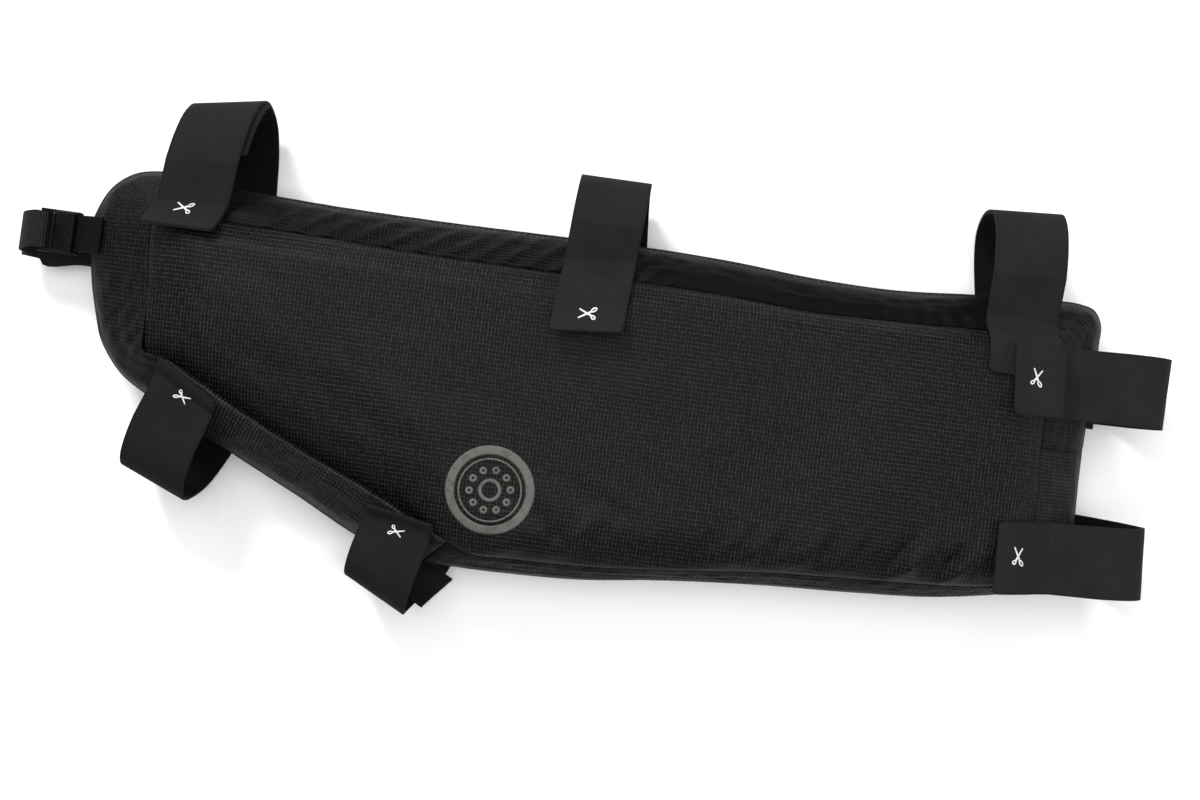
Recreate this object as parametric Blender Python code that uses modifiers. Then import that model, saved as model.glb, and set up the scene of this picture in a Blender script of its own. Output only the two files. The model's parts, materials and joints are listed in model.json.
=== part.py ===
"""Bicycle frame bag lying on its back panel, in metres.

+X runs along the top edge from the nose to the rear, +Y from the bottom edge to the top edge,
and +Z from the back panel to the front panel.
"""
import math

import bmesh
import bpy
from mathutils import Vector
from mathutils.bvhtree import BVHTree

# Overall sizes of the bag body, measured at the ridge along the middle of its sides.
BAG_LENGTH = 0.555
BAG_HEIGHT = 0.192
SEAM_THICKNESS = 0.053
BACK_SEAM_HEIGHT = 0.001

# Widths of the side cloth, seen from the front, between the ridge and the front seam.
NOSE_STRIP = 0.038
TOP_STRIP = 0.0215
REAR_STRIP = 0.029
BOTTOM_STRIP = 0.0095
LOWER_STRIP = 0.027

# Cloth and clearances.
CLOTH = 0.0015
BACK_PANEL_CLOTH = 0.0016
SEAM_GAP = 0.0003
PIECE_GAP = 0.0003

# The front panel's crown and how wide it rolls down to each seam.
CROWN = 0.010
TOP_ROLL = 0.030
LOWER_ROLL = 0.055
END_ROLL = 0.045

# The hook-and-loop bands.
STRAP_WIDTH = 0.038
STRAP_THICKNESS = 0.002
STRAP_REST_HEIGHT = 0.0013
STRAP_LOOP_HEIGHT = 0.0585
STRAP_REACH = 0.040
STRAP_LAP = 0.050
STRAP_TAB_START = 0.002
STRAP_TAB_LENGTH = 0.009
STRAP_CLEARANCE = 0.0006
# The steepest slope of a sewn tab, and how fast a free end may fall towards the bag.
STRAP_TAB_STEEPNESS = 0.6
STRAP_LAP_FALL = 0.35

# The nose webbing and its ladder-lock buckle.
WEBBING_WIDTH = 0.020
WEBBING_THICKNESS = 0.0014
BUCKLE_WIDTH = 0.027
BUCKLE_LENGTH = 0.022
BUCKLE_RAIL_WIDTH = 0.0028
BUCKLE_RAIL_HEIGHT = 0.005
BUCKLE_BAR_RADIUS = 0.0017
BUCKLE_GRIP_LENGTH = 0.009
BUCKLE_GRIP_INSET = 0.0039
BUCKLE_GRIP_HEIGHT = 0.0075
BUCKLE_GAP = 0.0065
BUCKLE_ROUNDING = 0.0007
NOSE_STRAP_DROP = 0.006
NOSE_STRAP_REACH = 0.013
WEBBING_SEAT = 0.010
# The tab's height over the ridge, as a share of its rise to its seat.
NOSE_TAB_SHOULDER = 0.6

# How finely the pieces are divided.
LONG_DIVISIONS = 44
END_DIVISIONS = 12
STEPS_BETWEEN_STATIONS = 24
STRAP_SAMPLES_ACROSS = 7
STRAP_LOOP_STEPS = 2
STRAP_LAP_STEP = 0.004
STRAP_FEWEST_LAP_STEPS = 3
BAR_TURN_STEP = 22.5
BAR_SIDES = 12
GRIP_SIDES = 16
# The sharpest mitre of a seam that is moved inward, and a length too small to matter.
MITRE_LIMIT = 0.5
TINY = 1e-9

# Stations around the bag, from the lower nose corner over the top and back along the bottom.
# edge: the side cloth that it belongs to. along, up: the ridge's place, as shares of BAG_LENGTH
# and BAG_HEIGHT. inset: the way to the front seam, as a share of that edge's strip width.
# toward: the direction of that way in degrees.
STATIONS = (
    ("nose", 0.046, 0.414, 0.60, 36.0),
    ("nose", 0.025, 0.490, 0.785, 13.6),
    ("nose", 0.014, 0.578, 0.93, 6.5),
    ("nose", 0.005, 0.682, 1.02, 4.0),
    ("nose", 0.000, 0.838, 1.06, -11.5),
    ("nose", 0.017, 0.942, 0.975, -34.5),
    ("nose", 0.034, 0.979, 0.884, -45.6),
    ("nose", 0.061, 0.997, 0.767, -59.0),
    ("top", 0.096, 0.990, 1.14, -73.0),
    ("top", 0.140, 0.978, 0.99, -90.0),
    ("top", 0.209, 0.969, 0.93, -90.0),
    ("top", 0.323, 0.966, 0.97, -90.0),
    ("top", 0.463, 0.971, 1.02, -90.0),
    ("top", 0.546, 0.974, 1.00, -90.0),
    ("top", 0.625, 0.969, 0.98, -90.0),
    ("top", 0.714, 0.953, 0.94, -90.0),
    ("top", 0.784, 0.951, 0.87, -90.0),
    ("top", 0.883, 0.974, 0.98, -90.0),
    ("top", 0.948, 0.986, 1.10, -99.7),
    ("rear", 0.973, 0.986, 0.99, -122.5),
    ("rear", 0.989, 0.974, 1.14, -134.6),
    ("rear", 0.9965, 0.943, 1.145, -143.0),
    ("rear", 0.998, 0.875, 1.00, -157.7),
    ("rear", 0.9965, 0.625, 1.05, -180.0),
    ("rear", 0.9965, 0.513, 1.02, -180.0),
    ("rear", 0.998, 0.391, 1.00, -180.0),
    ("rear", 1.000, 0.266, 1.02, -180.0),
    ("rear", 0.9965, 0.208, 0.966, -182.0),
    ("rear", 0.984, 0.169, 0.83, -186.0),
    ("bottom", 0.960, 0.154, 2.03, -190.4),
    ("bottom", 0.933, 0.135, 1.57, -200.4),
    ("bottom", 0.876, 0.104, 0.95, -257.5),
    ("bottom", 0.795, 0.083, 1.05, -270.0),
    ("bottom", 0.694, 0.065, 1.00, -270.0),
    ("bottom", 0.595, 0.038, 0.86, -270.0),
    ("bottom", 0.523, 0.010, 1.05, -270.0),
    ("bottom", 0.459, 0.000, 1.12, -270.0),
    ("bottom", 0.407, -0.003, 1.22, -290.0),
    ("lower", 0.366, 0.000, 0.785, -315.0),
    ("lower", 0.339, 0.008, 0.99, -312.0),
    ("lower", 0.299, 0.047, 1.077, -298.8),
    ("lower", 0.240, 0.130, 0.987, -296.8),
    ("lower", 0.168, 0.227, 0.96, -297.6),
    ("lower", 0.079, 0.354, 0.946, -300.6),
)
# The stations where the front panel turns its four corners.
NOSE_FOOT = 0
NOSE_HEAD = 6
REAR_HEAD = 20
REAR_FOOT = 28
# The side cloths. first, last: the stations where each starts and ends against the next.
# corners: further divisions for the corners that it turns.
GUSSETS = (
    ("nose_gusset", -1, 8, 4),
    ("top_gusset", 8, 18, 0),
    ("rear_gusset", 18, 29, 4),
    ("bottom_gusset", 29, 38, 0),
    ("lower_gusset", 38, 43, 0),
)
# The side cloth's section from the back seam over the ridge to the front seam.
# out: share of the way from the seam to the ridge. rise: share of SEAM_THICKNESS.
SIDE_SECTION = (
    (0.00, 0.00),
    (0.47, 0.17),
    (0.91, 0.37),
    (1.00, 0.50),
    (0.91, 0.63),
    (0.47, 0.83),
    (0.00, 1.00),
)
# Soft folds and dents of the front panel. along, up: the middle, as shares of BAG_LENGTH and
# BAG_HEIGHT. slant: its direction in degrees. run, breadth: half sizes as shares of BAG_HEIGHT.
# depth: its rise as a share of CROWN.
FOLDS = (
    (0.455, 0.095, 38.0, 0.11, 0.035, 0.22),
    (0.498, 0.105, 42.0, 0.12, 0.035, 0.18),
    (0.668, 0.140, 35.0, 0.12, 0.040, 0.22),
    (0.716, 0.150, 40.0, 0.13, 0.040, 0.24),
    (0.768, 0.155, 42.0, 0.13, 0.040, 0.22),
    (0.826, 0.165, 44.0, 0.13, 0.040, 0.20),
    (0.884, 0.190, 48.0, 0.14, 0.045, 0.18),
    (0.300, 0.830, 0.0, 0.14, 0.050, -0.12),
)
# The hook-and-loop bands. along, up: the place on the ridge, as shares of BAG_LENGTH and
# BAG_HEIGHT. facing: outward direction in degrees. reach: how far the loop stands off the ridge,
# as a share of STRAP_REACH. lap: how far the free end lies in over the bag, as a share of
# STRAP_LAP. drift_far, drift_end: sideways shift of the fold and of the free end, as shares of
# STRAP_WIDTH. twist_far, twist_end: how much each is turned, in degrees.
STRAPS = (
    ("strap_top_nose", 0.130, 0.979, 90.0, 1.10, 0.54, -0.079, -0.408, 10.0, 0.0),
    ("strap_top_middle", 0.511, 0.973, 90.0, 0.81, 1.04, -0.079, -0.211, 0.0, 5.5),
    ("strap_top_rear", 0.914, 0.982, 90.0, 1.11, 0.90, -0.092, 0.000, 4.0, -3.0),
    ("strap_rear_upper", 0.997, 0.755, 0.0, 0.94, 0.99, -0.013, 0.061, 0.0, 6.4),
    ("strap_rear_lower", 0.999, 0.289, 0.0, 0.90, 0.98, 0.029, 0.197, 4.4, 2.8),
    ("strap_lower_nose", 0.128, 0.284, -115.8, 0.85, 0.48, 0.000, 0.308, 3.6, -6.0),
    ("strap_lower_middle", 0.357, -0.003, -115.8, 0.625, 0.43, 0.153, 0.453, -1.4, 15.7),
)
# A band's loop outside the bag, from its sewn tab round to the front.
# out: share of the loop's reach. rise: share of STRAP_LOOP_HEIGHT.
STRAP_LOOP = (
    (-0.20, 0.085),
    (-0.06, 0.020),
    (0.22, 0.000),
    (0.52, 0.020),
    (0.78, 0.110),
    (0.95, 0.330),
    (1.00, 0.600),
    (0.95, 0.780),
    (0.78, 0.920),
    (0.50, 0.990),
    (0.20, 1.000),
)
# The station on whose lower side the nose webbing is sewn.
NOSE_STATION = 4


def clear_scene():
    for item in list(bpy.data.objects):
        bpy.data.objects.remove(item, do_unlink=True)


def new_collection(name):
    made = bpy.data.collections.new(name)
    bpy.context.scene.collection.children.link(made)
    return made


def finish_material(name, colour, roughness, metallic=0.0):
    made = bpy.data.materials.new(name)
    made.use_nodes = True
    shader = made.node_tree.nodes["Principled BSDF"]
    shader.inputs["Base Color"].default_value = (*colour, 1.0)
    shader.inputs["Roughness"].default_value = roughness
    shader.inputs["Metallic"].default_value = metallic
    return made


def place(item, collection, material):
    collection.objects.link(item)
    item.data.materials.append(material)
    return item


def sheet_object(name, rows):
    """An open sheet through rows of points that all have the same count."""
    made = bmesh.new()
    grid = [[made.verts.new(point) for point in row] for row in rows]
    for lower, upper in zip(grid, grid[1:]):
        pairs = list(zip(lower, upper))
        for (a, b), (c, d) in zip(pairs, pairs[1:]):
            made.faces.new((a, c, d, b))
    mesh = bpy.data.meshes.new(name)
    made.to_mesh(mesh)
    made.free()
    mesh.shade_smooth()
    return bpy.data.objects.new(name, mesh)


def thicken(item, thickness, offset):
    wall = item.modifiers.new("Cloth", "SOLIDIFY")
    wall.thickness = thickness
    wall.offset = offset
    wall.use_even_offset = True
    return item


def smooth_course(points, steps, closed=False):
    """Points along a smooth curve through the given ones, eased by the distance between them."""
    count = len(points)

    def at(index):
        if closed:
            return points[index % count]
        return points[max(0, min(count - 1, index))]

    def slope(index):
        before, here, after = at(index - 1), at(index), at(index + 1)
        back = (here - before).length
        ahead = (after - here).length
        if back < TINY or ahead < TINY:
            return (after - before) / max(back + ahead, TINY)
        return ((after - here) / ahead * back + (here - before) / back * ahead) / (back + ahead)

    course = []
    for index in range(count if closed else count - 1):
        start, stop = at(index), at(index + 1)
        span = (stop - start).length
        out, into = slope(index) * span, slope(index + 1) * span
        for step in range(steps):
            t = step / steps
            square, cube = t * t, t * t * t
            course.append(
                start * (2 * cube - 3 * square + 1)
                + out * (cube - 2 * square + t)
                + stop * (3 * square - 2 * cube)
                + into * (cube - square)
            )
    if not closed:
        course.append(points[-1])
    return course


def strip_width(edge):
    widths = {
        "nose": NOSE_STRIP,
        "top": TOP_STRIP,
        "rear": REAR_STRIP,
        "bottom": BOTTOM_STRIP,
        "lower": LOWER_STRIP,
    }
    return widths[edge]


def on_ridge(along, up):
    return Vector((along * BAG_LENGTH, up * BAG_HEIGHT))


def ring_course():
    """The ridge and the front seam together, as one closed course of four-part points."""
    points = []
    for edge, along, up, inset, toward in STATIONS:
        ridge = on_ridge(along, up)
        angle = math.radians(toward)
        way = Vector((math.cos(angle), math.sin(angle))) * inset * strip_width(edge)
        points.append(Vector((*ridge, *(ridge + way))))
    return smooth_course(points, STEPS_BETWEEN_STATIONS, closed=True)


def stretch(course, first, last, divisions, trim=0.0):
    """Evenly spaced points of the course from one station to another, less a trim at each end."""
    count = len(course)
    start = first * STEPS_BETWEEN_STATIONS
    stop = last * STEPS_BETWEEN_STATIONS
    run = [course[index % count] for index in range(start, stop + 1)]
    places = [0.0]
    for before, after in zip(run, run[1:]):
        places.append(places[-1] + (after.xy - before.xy).length)
    length = places[-1]
    picked = []
    for division in range(divisions + 1):
        wanted = trim + (length - 2 * trim) * division / divisions
        index = max(i for i in range(len(places) - 1) if places[i] <= wanted or i == 0)
        share = (wanted - places[index]) / max(places[index + 1] - places[index], TINY)
        picked.append(run[index].lerp(run[index + 1], share))
    return picked


def seam_of(point):
    return Vector((point[2], point[3]))


def inset_loop(points, distance):
    """A closed loop that runs clockwise, moved inward by a distance with mitred corners."""
    moved = []
    count = len(points)
    for index, point in enumerate(points):
        back = (point - points[index - 1]).normalized()
        ahead = (points[(index + 1) % count] - point).normalized()
        first = Vector((back.y, -back.x))
        second = Vector((ahead.y, -ahead.x))
        middle = (first + second).normalized()
        moved.append(point + middle * distance / max(middle.dot(first), MITRE_LIMIT))
    return moved


def seam_loop(course):
    """The front seam's four rails as one clockwise loop, in the front panel's divisions."""
    total = len(STATIONS)
    rails = (
        stretch(course, NOSE_FOOT, NOSE_HEAD, END_DIVISIONS),
        stretch(course, NOSE_HEAD, REAR_HEAD, LONG_DIVISIONS),
        stretch(course, REAR_HEAD, REAR_FOOT, END_DIVISIONS),
        stretch(course, REAR_FOOT, total, LONG_DIVISIONS),
    )
    return [seam_of(point) for rail in rails for point in rail[:-1]]


def ease(distance, width):
    return math.sin(min(max(distance / width, 0.0), 1.0) * math.pi / 2)


def fold_rise(place):
    rise = 0.0
    for along, up, slant, run, breadth, depth in FOLDS:
        away = place - on_ridge(along, up)
        angle = math.radians(slant)
        ahead = away.x * math.cos(angle) + away.y * math.sin(angle)
        aside = away.y * math.cos(angle) - away.x * math.sin(angle)
        share = (ahead / (run * BAG_HEIGHT)) ** 2 + (aside / (breadth * BAG_HEIGHT)) ** 2
        rise += depth * CROWN * math.exp(-share)
    return rise


def front_panel(course):
    """The crowned front cloth, a patch between the four rails of its seam."""
    seam = BACK_SEAM_HEIGHT + SEAM_THICKNESS
    loop = inset_loop(seam_loop(course), CLOTH + SEAM_GAP)
    nose_end = END_DIVISIONS
    top_end = nose_end + LONG_DIVISIONS
    rear_end = top_end + END_DIVISIONS
    nose = loop[: nose_end + 1]
    top = loop[nose_end: top_end + 1]
    rear = loop[top_end: rear_end + 1][::-1]
    under = (loop[rear_end:] + loop[:1])[::-1]
    rows = []
    for i in range(END_DIVISIONS + 1):
        up = i / END_DIVISIONS
        row = []
        for j in range(LONG_DIVISIONS + 1):
            along = j / LONG_DIVISIONS
            flat = (
                nose[i] * (1 - along) + rear[i] * along
                + under[j] * (1 - up) + top[j] * up
                - nose[0] * (1 - along) * (1 - up) - rear[0] * along * (1 - up)
                - nose[-1] * (1 - along) * up - rear[-1] * along * up
            )
            height = (top[j] - under[j]).length
            length = (rear[i] - nose[i]).length
            fullness = (
                ease((1 - up) * height, TOP_ROLL) * ease(up * height, LOWER_ROLL)
                * ease(along * length, END_ROLL) * ease((1 - along) * length, END_ROLL)
            )
            near_edge = ease(min(up, 1 - up) * height, TOP_ROLL / 2)
            row.append((flat.x, flat.y, seam + CROWN * fullness + near_edge * fold_rise(flat)))
        rows.append(row)
    return thicken(sheet_object("front_panel", rows), CLOTH, -1.0)


def back_panel(course):
    """The flat back cloth that the bag lies on."""
    loop = inset_loop(seam_loop(course), CLOTH + SEAM_GAP)
    curve = bpy.data.curves.new("back_panel", "CURVE")
    curve.dimensions = "2D"
    curve.fill_mode = "BOTH"
    curve.extrude = BACK_PANEL_CLOTH / 2
    spline = curve.splines.new("POLY")
    spline.points.add(len(loop) - 1)
    for target, point in zip(spline.points, loop):
        target.co = (point.x, point.y, 0.0, 1.0)
    spline.use_cyclic_u = True
    made = bpy.data.objects.new("back_panel", curve)
    made.location.z = BACK_PANEL_CLOTH / 2
    return made


def gusset(course, name, first, last, corners):
    """A side cloth, folded out to its ridge, between two stations."""
    if first < 0:
        first, last = first + len(STATIONS), last + len(STATIONS)
    span = sum(
        (course[(i + 1) % len(course)].xy - course[i % len(course)].xy).length
        for i in range(first * STEPS_BETWEEN_STATIONS, last * STEPS_BETWEEN_STATIONS)
    )
    divisions = round(span / (BAG_LENGTH / LONG_DIVISIONS)) + corners
    rows = []
    for point in stretch(course, first, last, divisions, trim=SEAM_GAP):
        ridge, seam = Vector(point[:2]), seam_of(point)
        row = []
        for out, rise in SIDE_SECTION:
            flat = seam.lerp(ridge, out)
            row.append((flat.x, flat.y, BACK_SEAM_HEIGHT + rise * SEAM_THICKNESS))
        rows.append(row)
    return thicken(sheet_object(name, rows), CLOTH, -1.0)


def tree_of(item):
    bpy.context.view_layer.update()
    return BVHTree.FromObject(item, bpy.context.evaluated_depsgraph_get())


def top_of(trees, x, y):
    """The height of the highest piece under a point, or None outside them all."""
    hits = [tree.ray_cast(Vector((x, y, 1.0)), Vector((0.0, 0.0, -1.0)))[0] for tree in trees]
    heights = [hit.z for hit in hits if hit is not None]
    return max(heights) if heights else None


def underside_of(trees, x, y):
    """The height of the lowest piece over a point, or None outside them all."""
    hits = [tree.ray_cast(Vector((x, y, -1.0)), Vector((0.0, 0.0, 1.0)))[0] for tree in trees]
    heights = [hit.z for hit in hits if hit is not None]
    return min(heights) if heights else None


def strap(trees, row):
    """A band sewn under the ridge, looped round a tube's space and laid over the front."""
    name, along, up, facing, reach, lap, drift_far, drift_end, twist_far, twist_end = row
    reach *= STRAP_REACH
    lap *= STRAP_LAP
    foot = on_ridge(along, up)
    angle = math.radians(facing)
    outward = Vector((math.cos(angle), math.sin(angle)))
    sideways = Vector((outward.y, -outward.x))
    half = STRAP_THICKNESS / 2

    def line_at(out, past_fold):
        """The band's two edges where its middle stands off the ridge by a distance."""
        if past_fold:
            share = (reach - out) / (reach + lap)
            drift = drift_far + (drift_end - drift_far) * share
            turn = math.radians(twist_far + (twist_end - twist_far) * share)
        else:
            share = max(out, 0.0) / reach
            drift = drift_far * share
            turn = math.radians(twist_far * share)
        middle = foot + outward * out + sideways * drift * STRAP_WIDTH
        across = Vector((
            sideways.x * math.cos(turn) - sideways.y * math.sin(turn),
            sideways.x * math.sin(turn) + sideways.y * math.cos(turn),
        )) * STRAP_WIDTH / 2
        return middle - across, middle + across

    def samples(out, past_fold):
        left, right = line_at(out, past_fold)
        last = STRAP_SAMPLES_ACROSS - 1
        return [left.lerp(right, index / last) for index in range(STRAP_SAMPLES_ACROSS)]

    loop = []
    for share in (0.0, 0.5, 1.0):
        out = -STRAP_TAB_START - STRAP_TAB_LENGTH * share
        found = [underside_of(trees, p.x, p.y) for p in samples(out, False)]
        under = min(height for height in found if height is not None)
        loop.append(Vector((out, under - half / STRAP_TAB_STEEPNESS - STRAP_CLEARANCE)))
    for out, rise in STRAP_LOOP:
        loop.append(Vector((out * reach, STRAP_REST_HEIGHT + rise * STRAP_LOOP_HEIGHT)))
    loop = smooth_course(loop, STRAP_LOOP_STEPS)
    fold = max(range(len(loop)), key=lambda index: loop[index].x)
    sheet = [(*point, index > fold) for index, point in enumerate(loop)]
    last_out, last_height = loop[-1]
    steps = max(STRAP_FEWEST_LAP_STEPS, round((last_out + lap) / STRAP_LAP_STEP))
    for step in range(1, steps + 1):
        out = last_out - (last_out + lap) * step / steps
        found = [
            top_of(trees, p.x, p.y)
            for shift in (-STRAP_LAP_STEP / 2, 0.0, STRAP_LAP_STEP / 2)
            for p in samples(out + shift, True)
        ]
        floor = max([height for height in found if height is not None] or [0.0])
        sag = last_height - (last_out - out) * STRAP_LAP_FALL
        sheet.append((out, max(sag, floor + half + STRAP_CLEARANCE), True))
    rows = []
    for out, height, past_fold in sheet:
        left, right = line_at(out, past_fold)
        rows.append([(*left, height), (*((left + right) / 2), height), (*right, height)])
    return thicken(sheet_object(name, rows), STRAP_THICKNESS, 0.0)


def ribbon(name, course, width, thickness):
    """A webbing band of even width that lies across Y and follows a course of points."""
    rows = [
        [(x, y + side * width / 2, z) for side in (-1.0, 0.0, 1.0)]
        for x, y, z in course
    ]
    return thicken(sheet_object(name, rows), thickness, 0.0)


def round_bar(x, y, z, radius, first, last):
    """Points round a bar along Y, from one angle to another, in degrees from +X towards +Z."""
    steps = round(abs(last - first) / BAR_TURN_STEP)
    turns = [math.radians(first + (last - first) * step / steps) for step in range(steps + 1)]
    return [(x + radius * math.cos(turn), y, z + radius * math.sin(turn)) for turn in turns]


def union(base, tools, collection):
    for index, tool in enumerate(tools):
        tool.hide_render = True
        tool.display_type = "WIRE"
        collection.objects.link(tool)
        join = base.modifiers.new(f"Join {index}", "BOOLEAN")
        join.operation = "UNION"
        join.solver = "EXACT"
        join.object = tool
    return base


def box_object(name, low, high, bevel):
    mesh = bpy.data.meshes.new(name)
    made = bmesh.new()
    bmesh.ops.create_cube(made, size=1.0)
    size = Vector(high) - Vector(low)
    bmesh.ops.scale(made, vec=size, verts=made.verts)
    bmesh.ops.translate(made, vec=(Vector(high) + Vector(low)) / 2, verts=made.verts)
    bmesh.ops.bevel(made, geom=list(made.edges), offset=bevel, segments=2, profile=0.5,
                    affect="EDGES", material=-1)
    made.to_mesh(mesh)
    made.free()
    return bpy.data.objects.new(name, mesh)


def bar_object(name, middle, radius, length, sides, flatten=1.0):
    """A round bar along Y, or a flattened one."""
    mesh = bpy.data.meshes.new(name)
    made = bmesh.new()
    bmesh.ops.create_cone(made, cap_ends=True, segments=sides, radius1=radius, radius2=radius,
                          depth=length)
    for vertex in made.verts:
        x, y, z = vertex.co
        vertex.co = (x, z, -y * flatten)
    bmesh.ops.translate(made, vec=middle, verts=made.verts)
    made.to_mesh(mesh)
    made.free()
    return bpy.data.objects.new(name, mesh)


def buckle_object(ridge, level, cutters):
    """The ladder-lock: two rails, two round bars and a rounded grip. Returns its bar places too."""
    inner = ridge.x - BUCKLE_GAP - BUCKLE_BAR_RADIUS
    outer = inner - BUCKLE_LENGTH + 2 * BUCKLE_BAR_RADIUS
    grip = inner - BUCKLE_GRIP_INSET - BUCKLE_GRIP_LENGTH / 2
    rail = BUCKLE_RAIL_HEIGHT / 2
    half = BUCKLE_WIDTH / 2
    low = Vector((outer - BUCKLE_BAR_RADIUS, ridge.y - half, level - rail))
    far = Vector((inner + BUCKLE_BAR_RADIUS, ridge.y - half + BUCKLE_RAIL_WIDTH, level + rail))
    shift = Vector((0.0, BUCKLE_WIDTH - BUCKLE_RAIL_WIDTH, 0.0))
    length = BUCKLE_WIDTH - BUCKLE_RAIL_WIDTH
    flatten = BUCKLE_GRIP_HEIGHT / BUCKLE_GRIP_LENGTH
    grip_place = (grip, ridge.y, level + rail)
    buckle = box_object("nose_buckle", low, far, BUCKLE_ROUNDING)
    tools = [
        box_object("buckle_far_rail", low + shift, far + shift, BUCKLE_ROUNDING),
        bar_object("buckle_grip", grip_place, BUCKLE_GRIP_LENGTH / 2, length, GRIP_SIDES, flatten),
    ]
    for name, place_along in (("buckle_inner_bar", inner), ("buckle_outer_bar", outer)):
        middle = (place_along, ridge.y, level)
        tools.append(bar_object(name, middle, BUCKLE_BAR_RADIUS, length, BAR_SIDES))
    return union(buckle, tools, cutters), inner, outer, grip


def nose_fittings(trees, cutters):
    """The nose's webbing tab, its buckle and the strap that runs through it."""
    place_on_ridge = STATIONS[NOSE_STATION]
    ridge = on_ridge(place_on_ridge[1], place_on_ridge[2]) - Vector((0.0, WEBBING_WIDTH / 2))
    level = BACK_SEAM_HEIGHT + SEAM_THICKNESS / 2
    buckle, inner, outer, grip = buckle_object(ridge, level, cutters)
    wrap = BUCKLE_BAR_RADIUS + PIECE_GAP + WEBBING_THICKNESS / 2
    seat = ridge.x + WEBBING_SEAT
    spots = [
        (seat + shift, ridge.y + side * WEBBING_WIDTH / 2)
        for shift in (-WEBBING_THICKNESS, 0.0)
        for side in (-1.0, -0.5, 0.0, 0.5, 1.0)
    ]
    lift = WEBBING_THICKNESS + PIECE_GAP
    front_seat = max(top_of(trees, *spot) for spot in spots) + lift
    shoulder = level + NOSE_TAB_SHOULDER * (front_seat - level)
    course = [(seat, ridge.y, front_seat), (ridge.x, ridge.y, shoulder)]
    course += round_bar(inner, ridge.y, level, wrap, 90.0, 270.0)
    course.append((ridge.x - lift, ridge.y, level - wrap))
    tab = ribbon("nose_tab", course, WEBBING_WIDTH, WEBBING_THICKNESS)

    spots = [(x, y - NOSE_STRAP_DROP) for x, y in spots]
    back_seat = min(underside_of(trees, *spot) for spot in spots) - lift
    radius = (level + wrap - back_seat) / 2
    turn = outer - NOSE_STRAP_REACH + radius
    low_y = ridge.y - NOSE_STRAP_DROP
    course = [(seat, low_y, back_seat), (inner, low_y, back_seat), (turn, low_y, back_seat)]
    loop = round_bar(turn, ridge.y, back_seat + radius, radius, 270.0, 90.0)
    for index, (x, y, z) in enumerate(loop):
        course.append((x, y - NOSE_STRAP_DROP * (1 - (index + 1) / len(loop)), z))
    course += round_bar(outer, ridge.y, level, wrap, 90.0, 0.0)
    under_grip = level + (BUCKLE_RAIL_HEIGHT - BUCKLE_GRIP_HEIGHT) / 2 - lift
    course += [(grip - BUCKLE_GRIP_LENGTH / 2, ridge.y, under_grip), (grip, ridge.y, under_grip)]
    strap_end = ribbon("nose_strap", course, WEBBING_WIDTH, WEBBING_THICKNESS)
    return buckle, tab, strap_end


def seat_on_floor(parts, helpers):
    """Moves the bag and its joined shapes by one empty, so that its box stands on the origin."""
    carrier = bpy.data.objects.new("bag_frame", None)
    bpy.context.scene.collection.objects.link(carrier)
    bpy.context.view_layer.update()
    graph = bpy.context.evaluated_depsgraph_get()
    corners = []
    for part in parts:
        shape = part.evaluated_get(graph).to_mesh()
        corners += [part.matrix_world @ vertex.co for vertex in shape.vertices]
    low = [min(corner[axis] for corner in corners) for axis in range(3)]
    high = [max(corner[axis] for corner in corners) for axis in range(3)]
    carrier.location = (-(low[0] + high[0]) / 2, -(low[1] + high[1]) / 2, -low[2])
    for item in parts + helpers:
        item.parent = carrier


def main():
    clear_scene()
    bag = new_collection("bicycle_frame_bag")
    cutters = new_collection("joined_shapes")
    ripstop = finish_material("ripstop cloth", (0.018, 0.016, 0.016), 0.72)
    band = finish_material("hook and loop band", (0.022, 0.021, 0.021), 0.85)
    webbing = finish_material("ribbed webbing", (0.020, 0.019, 0.018), 0.80)
    plastic = finish_material("moulded plastic", (0.015, 0.015, 0.015), 0.40)

    course = ring_course()
    shell = [place(front_panel(course), bag, ripstop)]
    for row in GUSSETS:
        shell.append(place(gusset(course, *row), bag, ripstop))
    trees = [tree_of(item) for item in shell]
    parts = shell + [place(back_panel(course), bag, ripstop)]
    for row in STRAPS:
        made = place(strap(trees, row), bag, band)
        parts.append(made)
        trees.append(tree_of(made))
    buckle, tab, strap_end = nose_fittings(trees, cutters)
    parts.append(place(buckle, bag, plastic))
    parts.append(place(tab, bag, webbing))
    parts.append(place(strap_end, bag, webbing))
    seat_on_floor(parts, list(cutters.objects))


main()
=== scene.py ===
"""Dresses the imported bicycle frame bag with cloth, bands, webbing, stitching and prints."""
import json
import math

import bmesh
import bpy
from bpy.props import FloatProperty, FloatVectorProperty, PointerProperty
from mathutils import Matrix, Vector, noise
from mathutils.bvhtree import BVHTree

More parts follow.
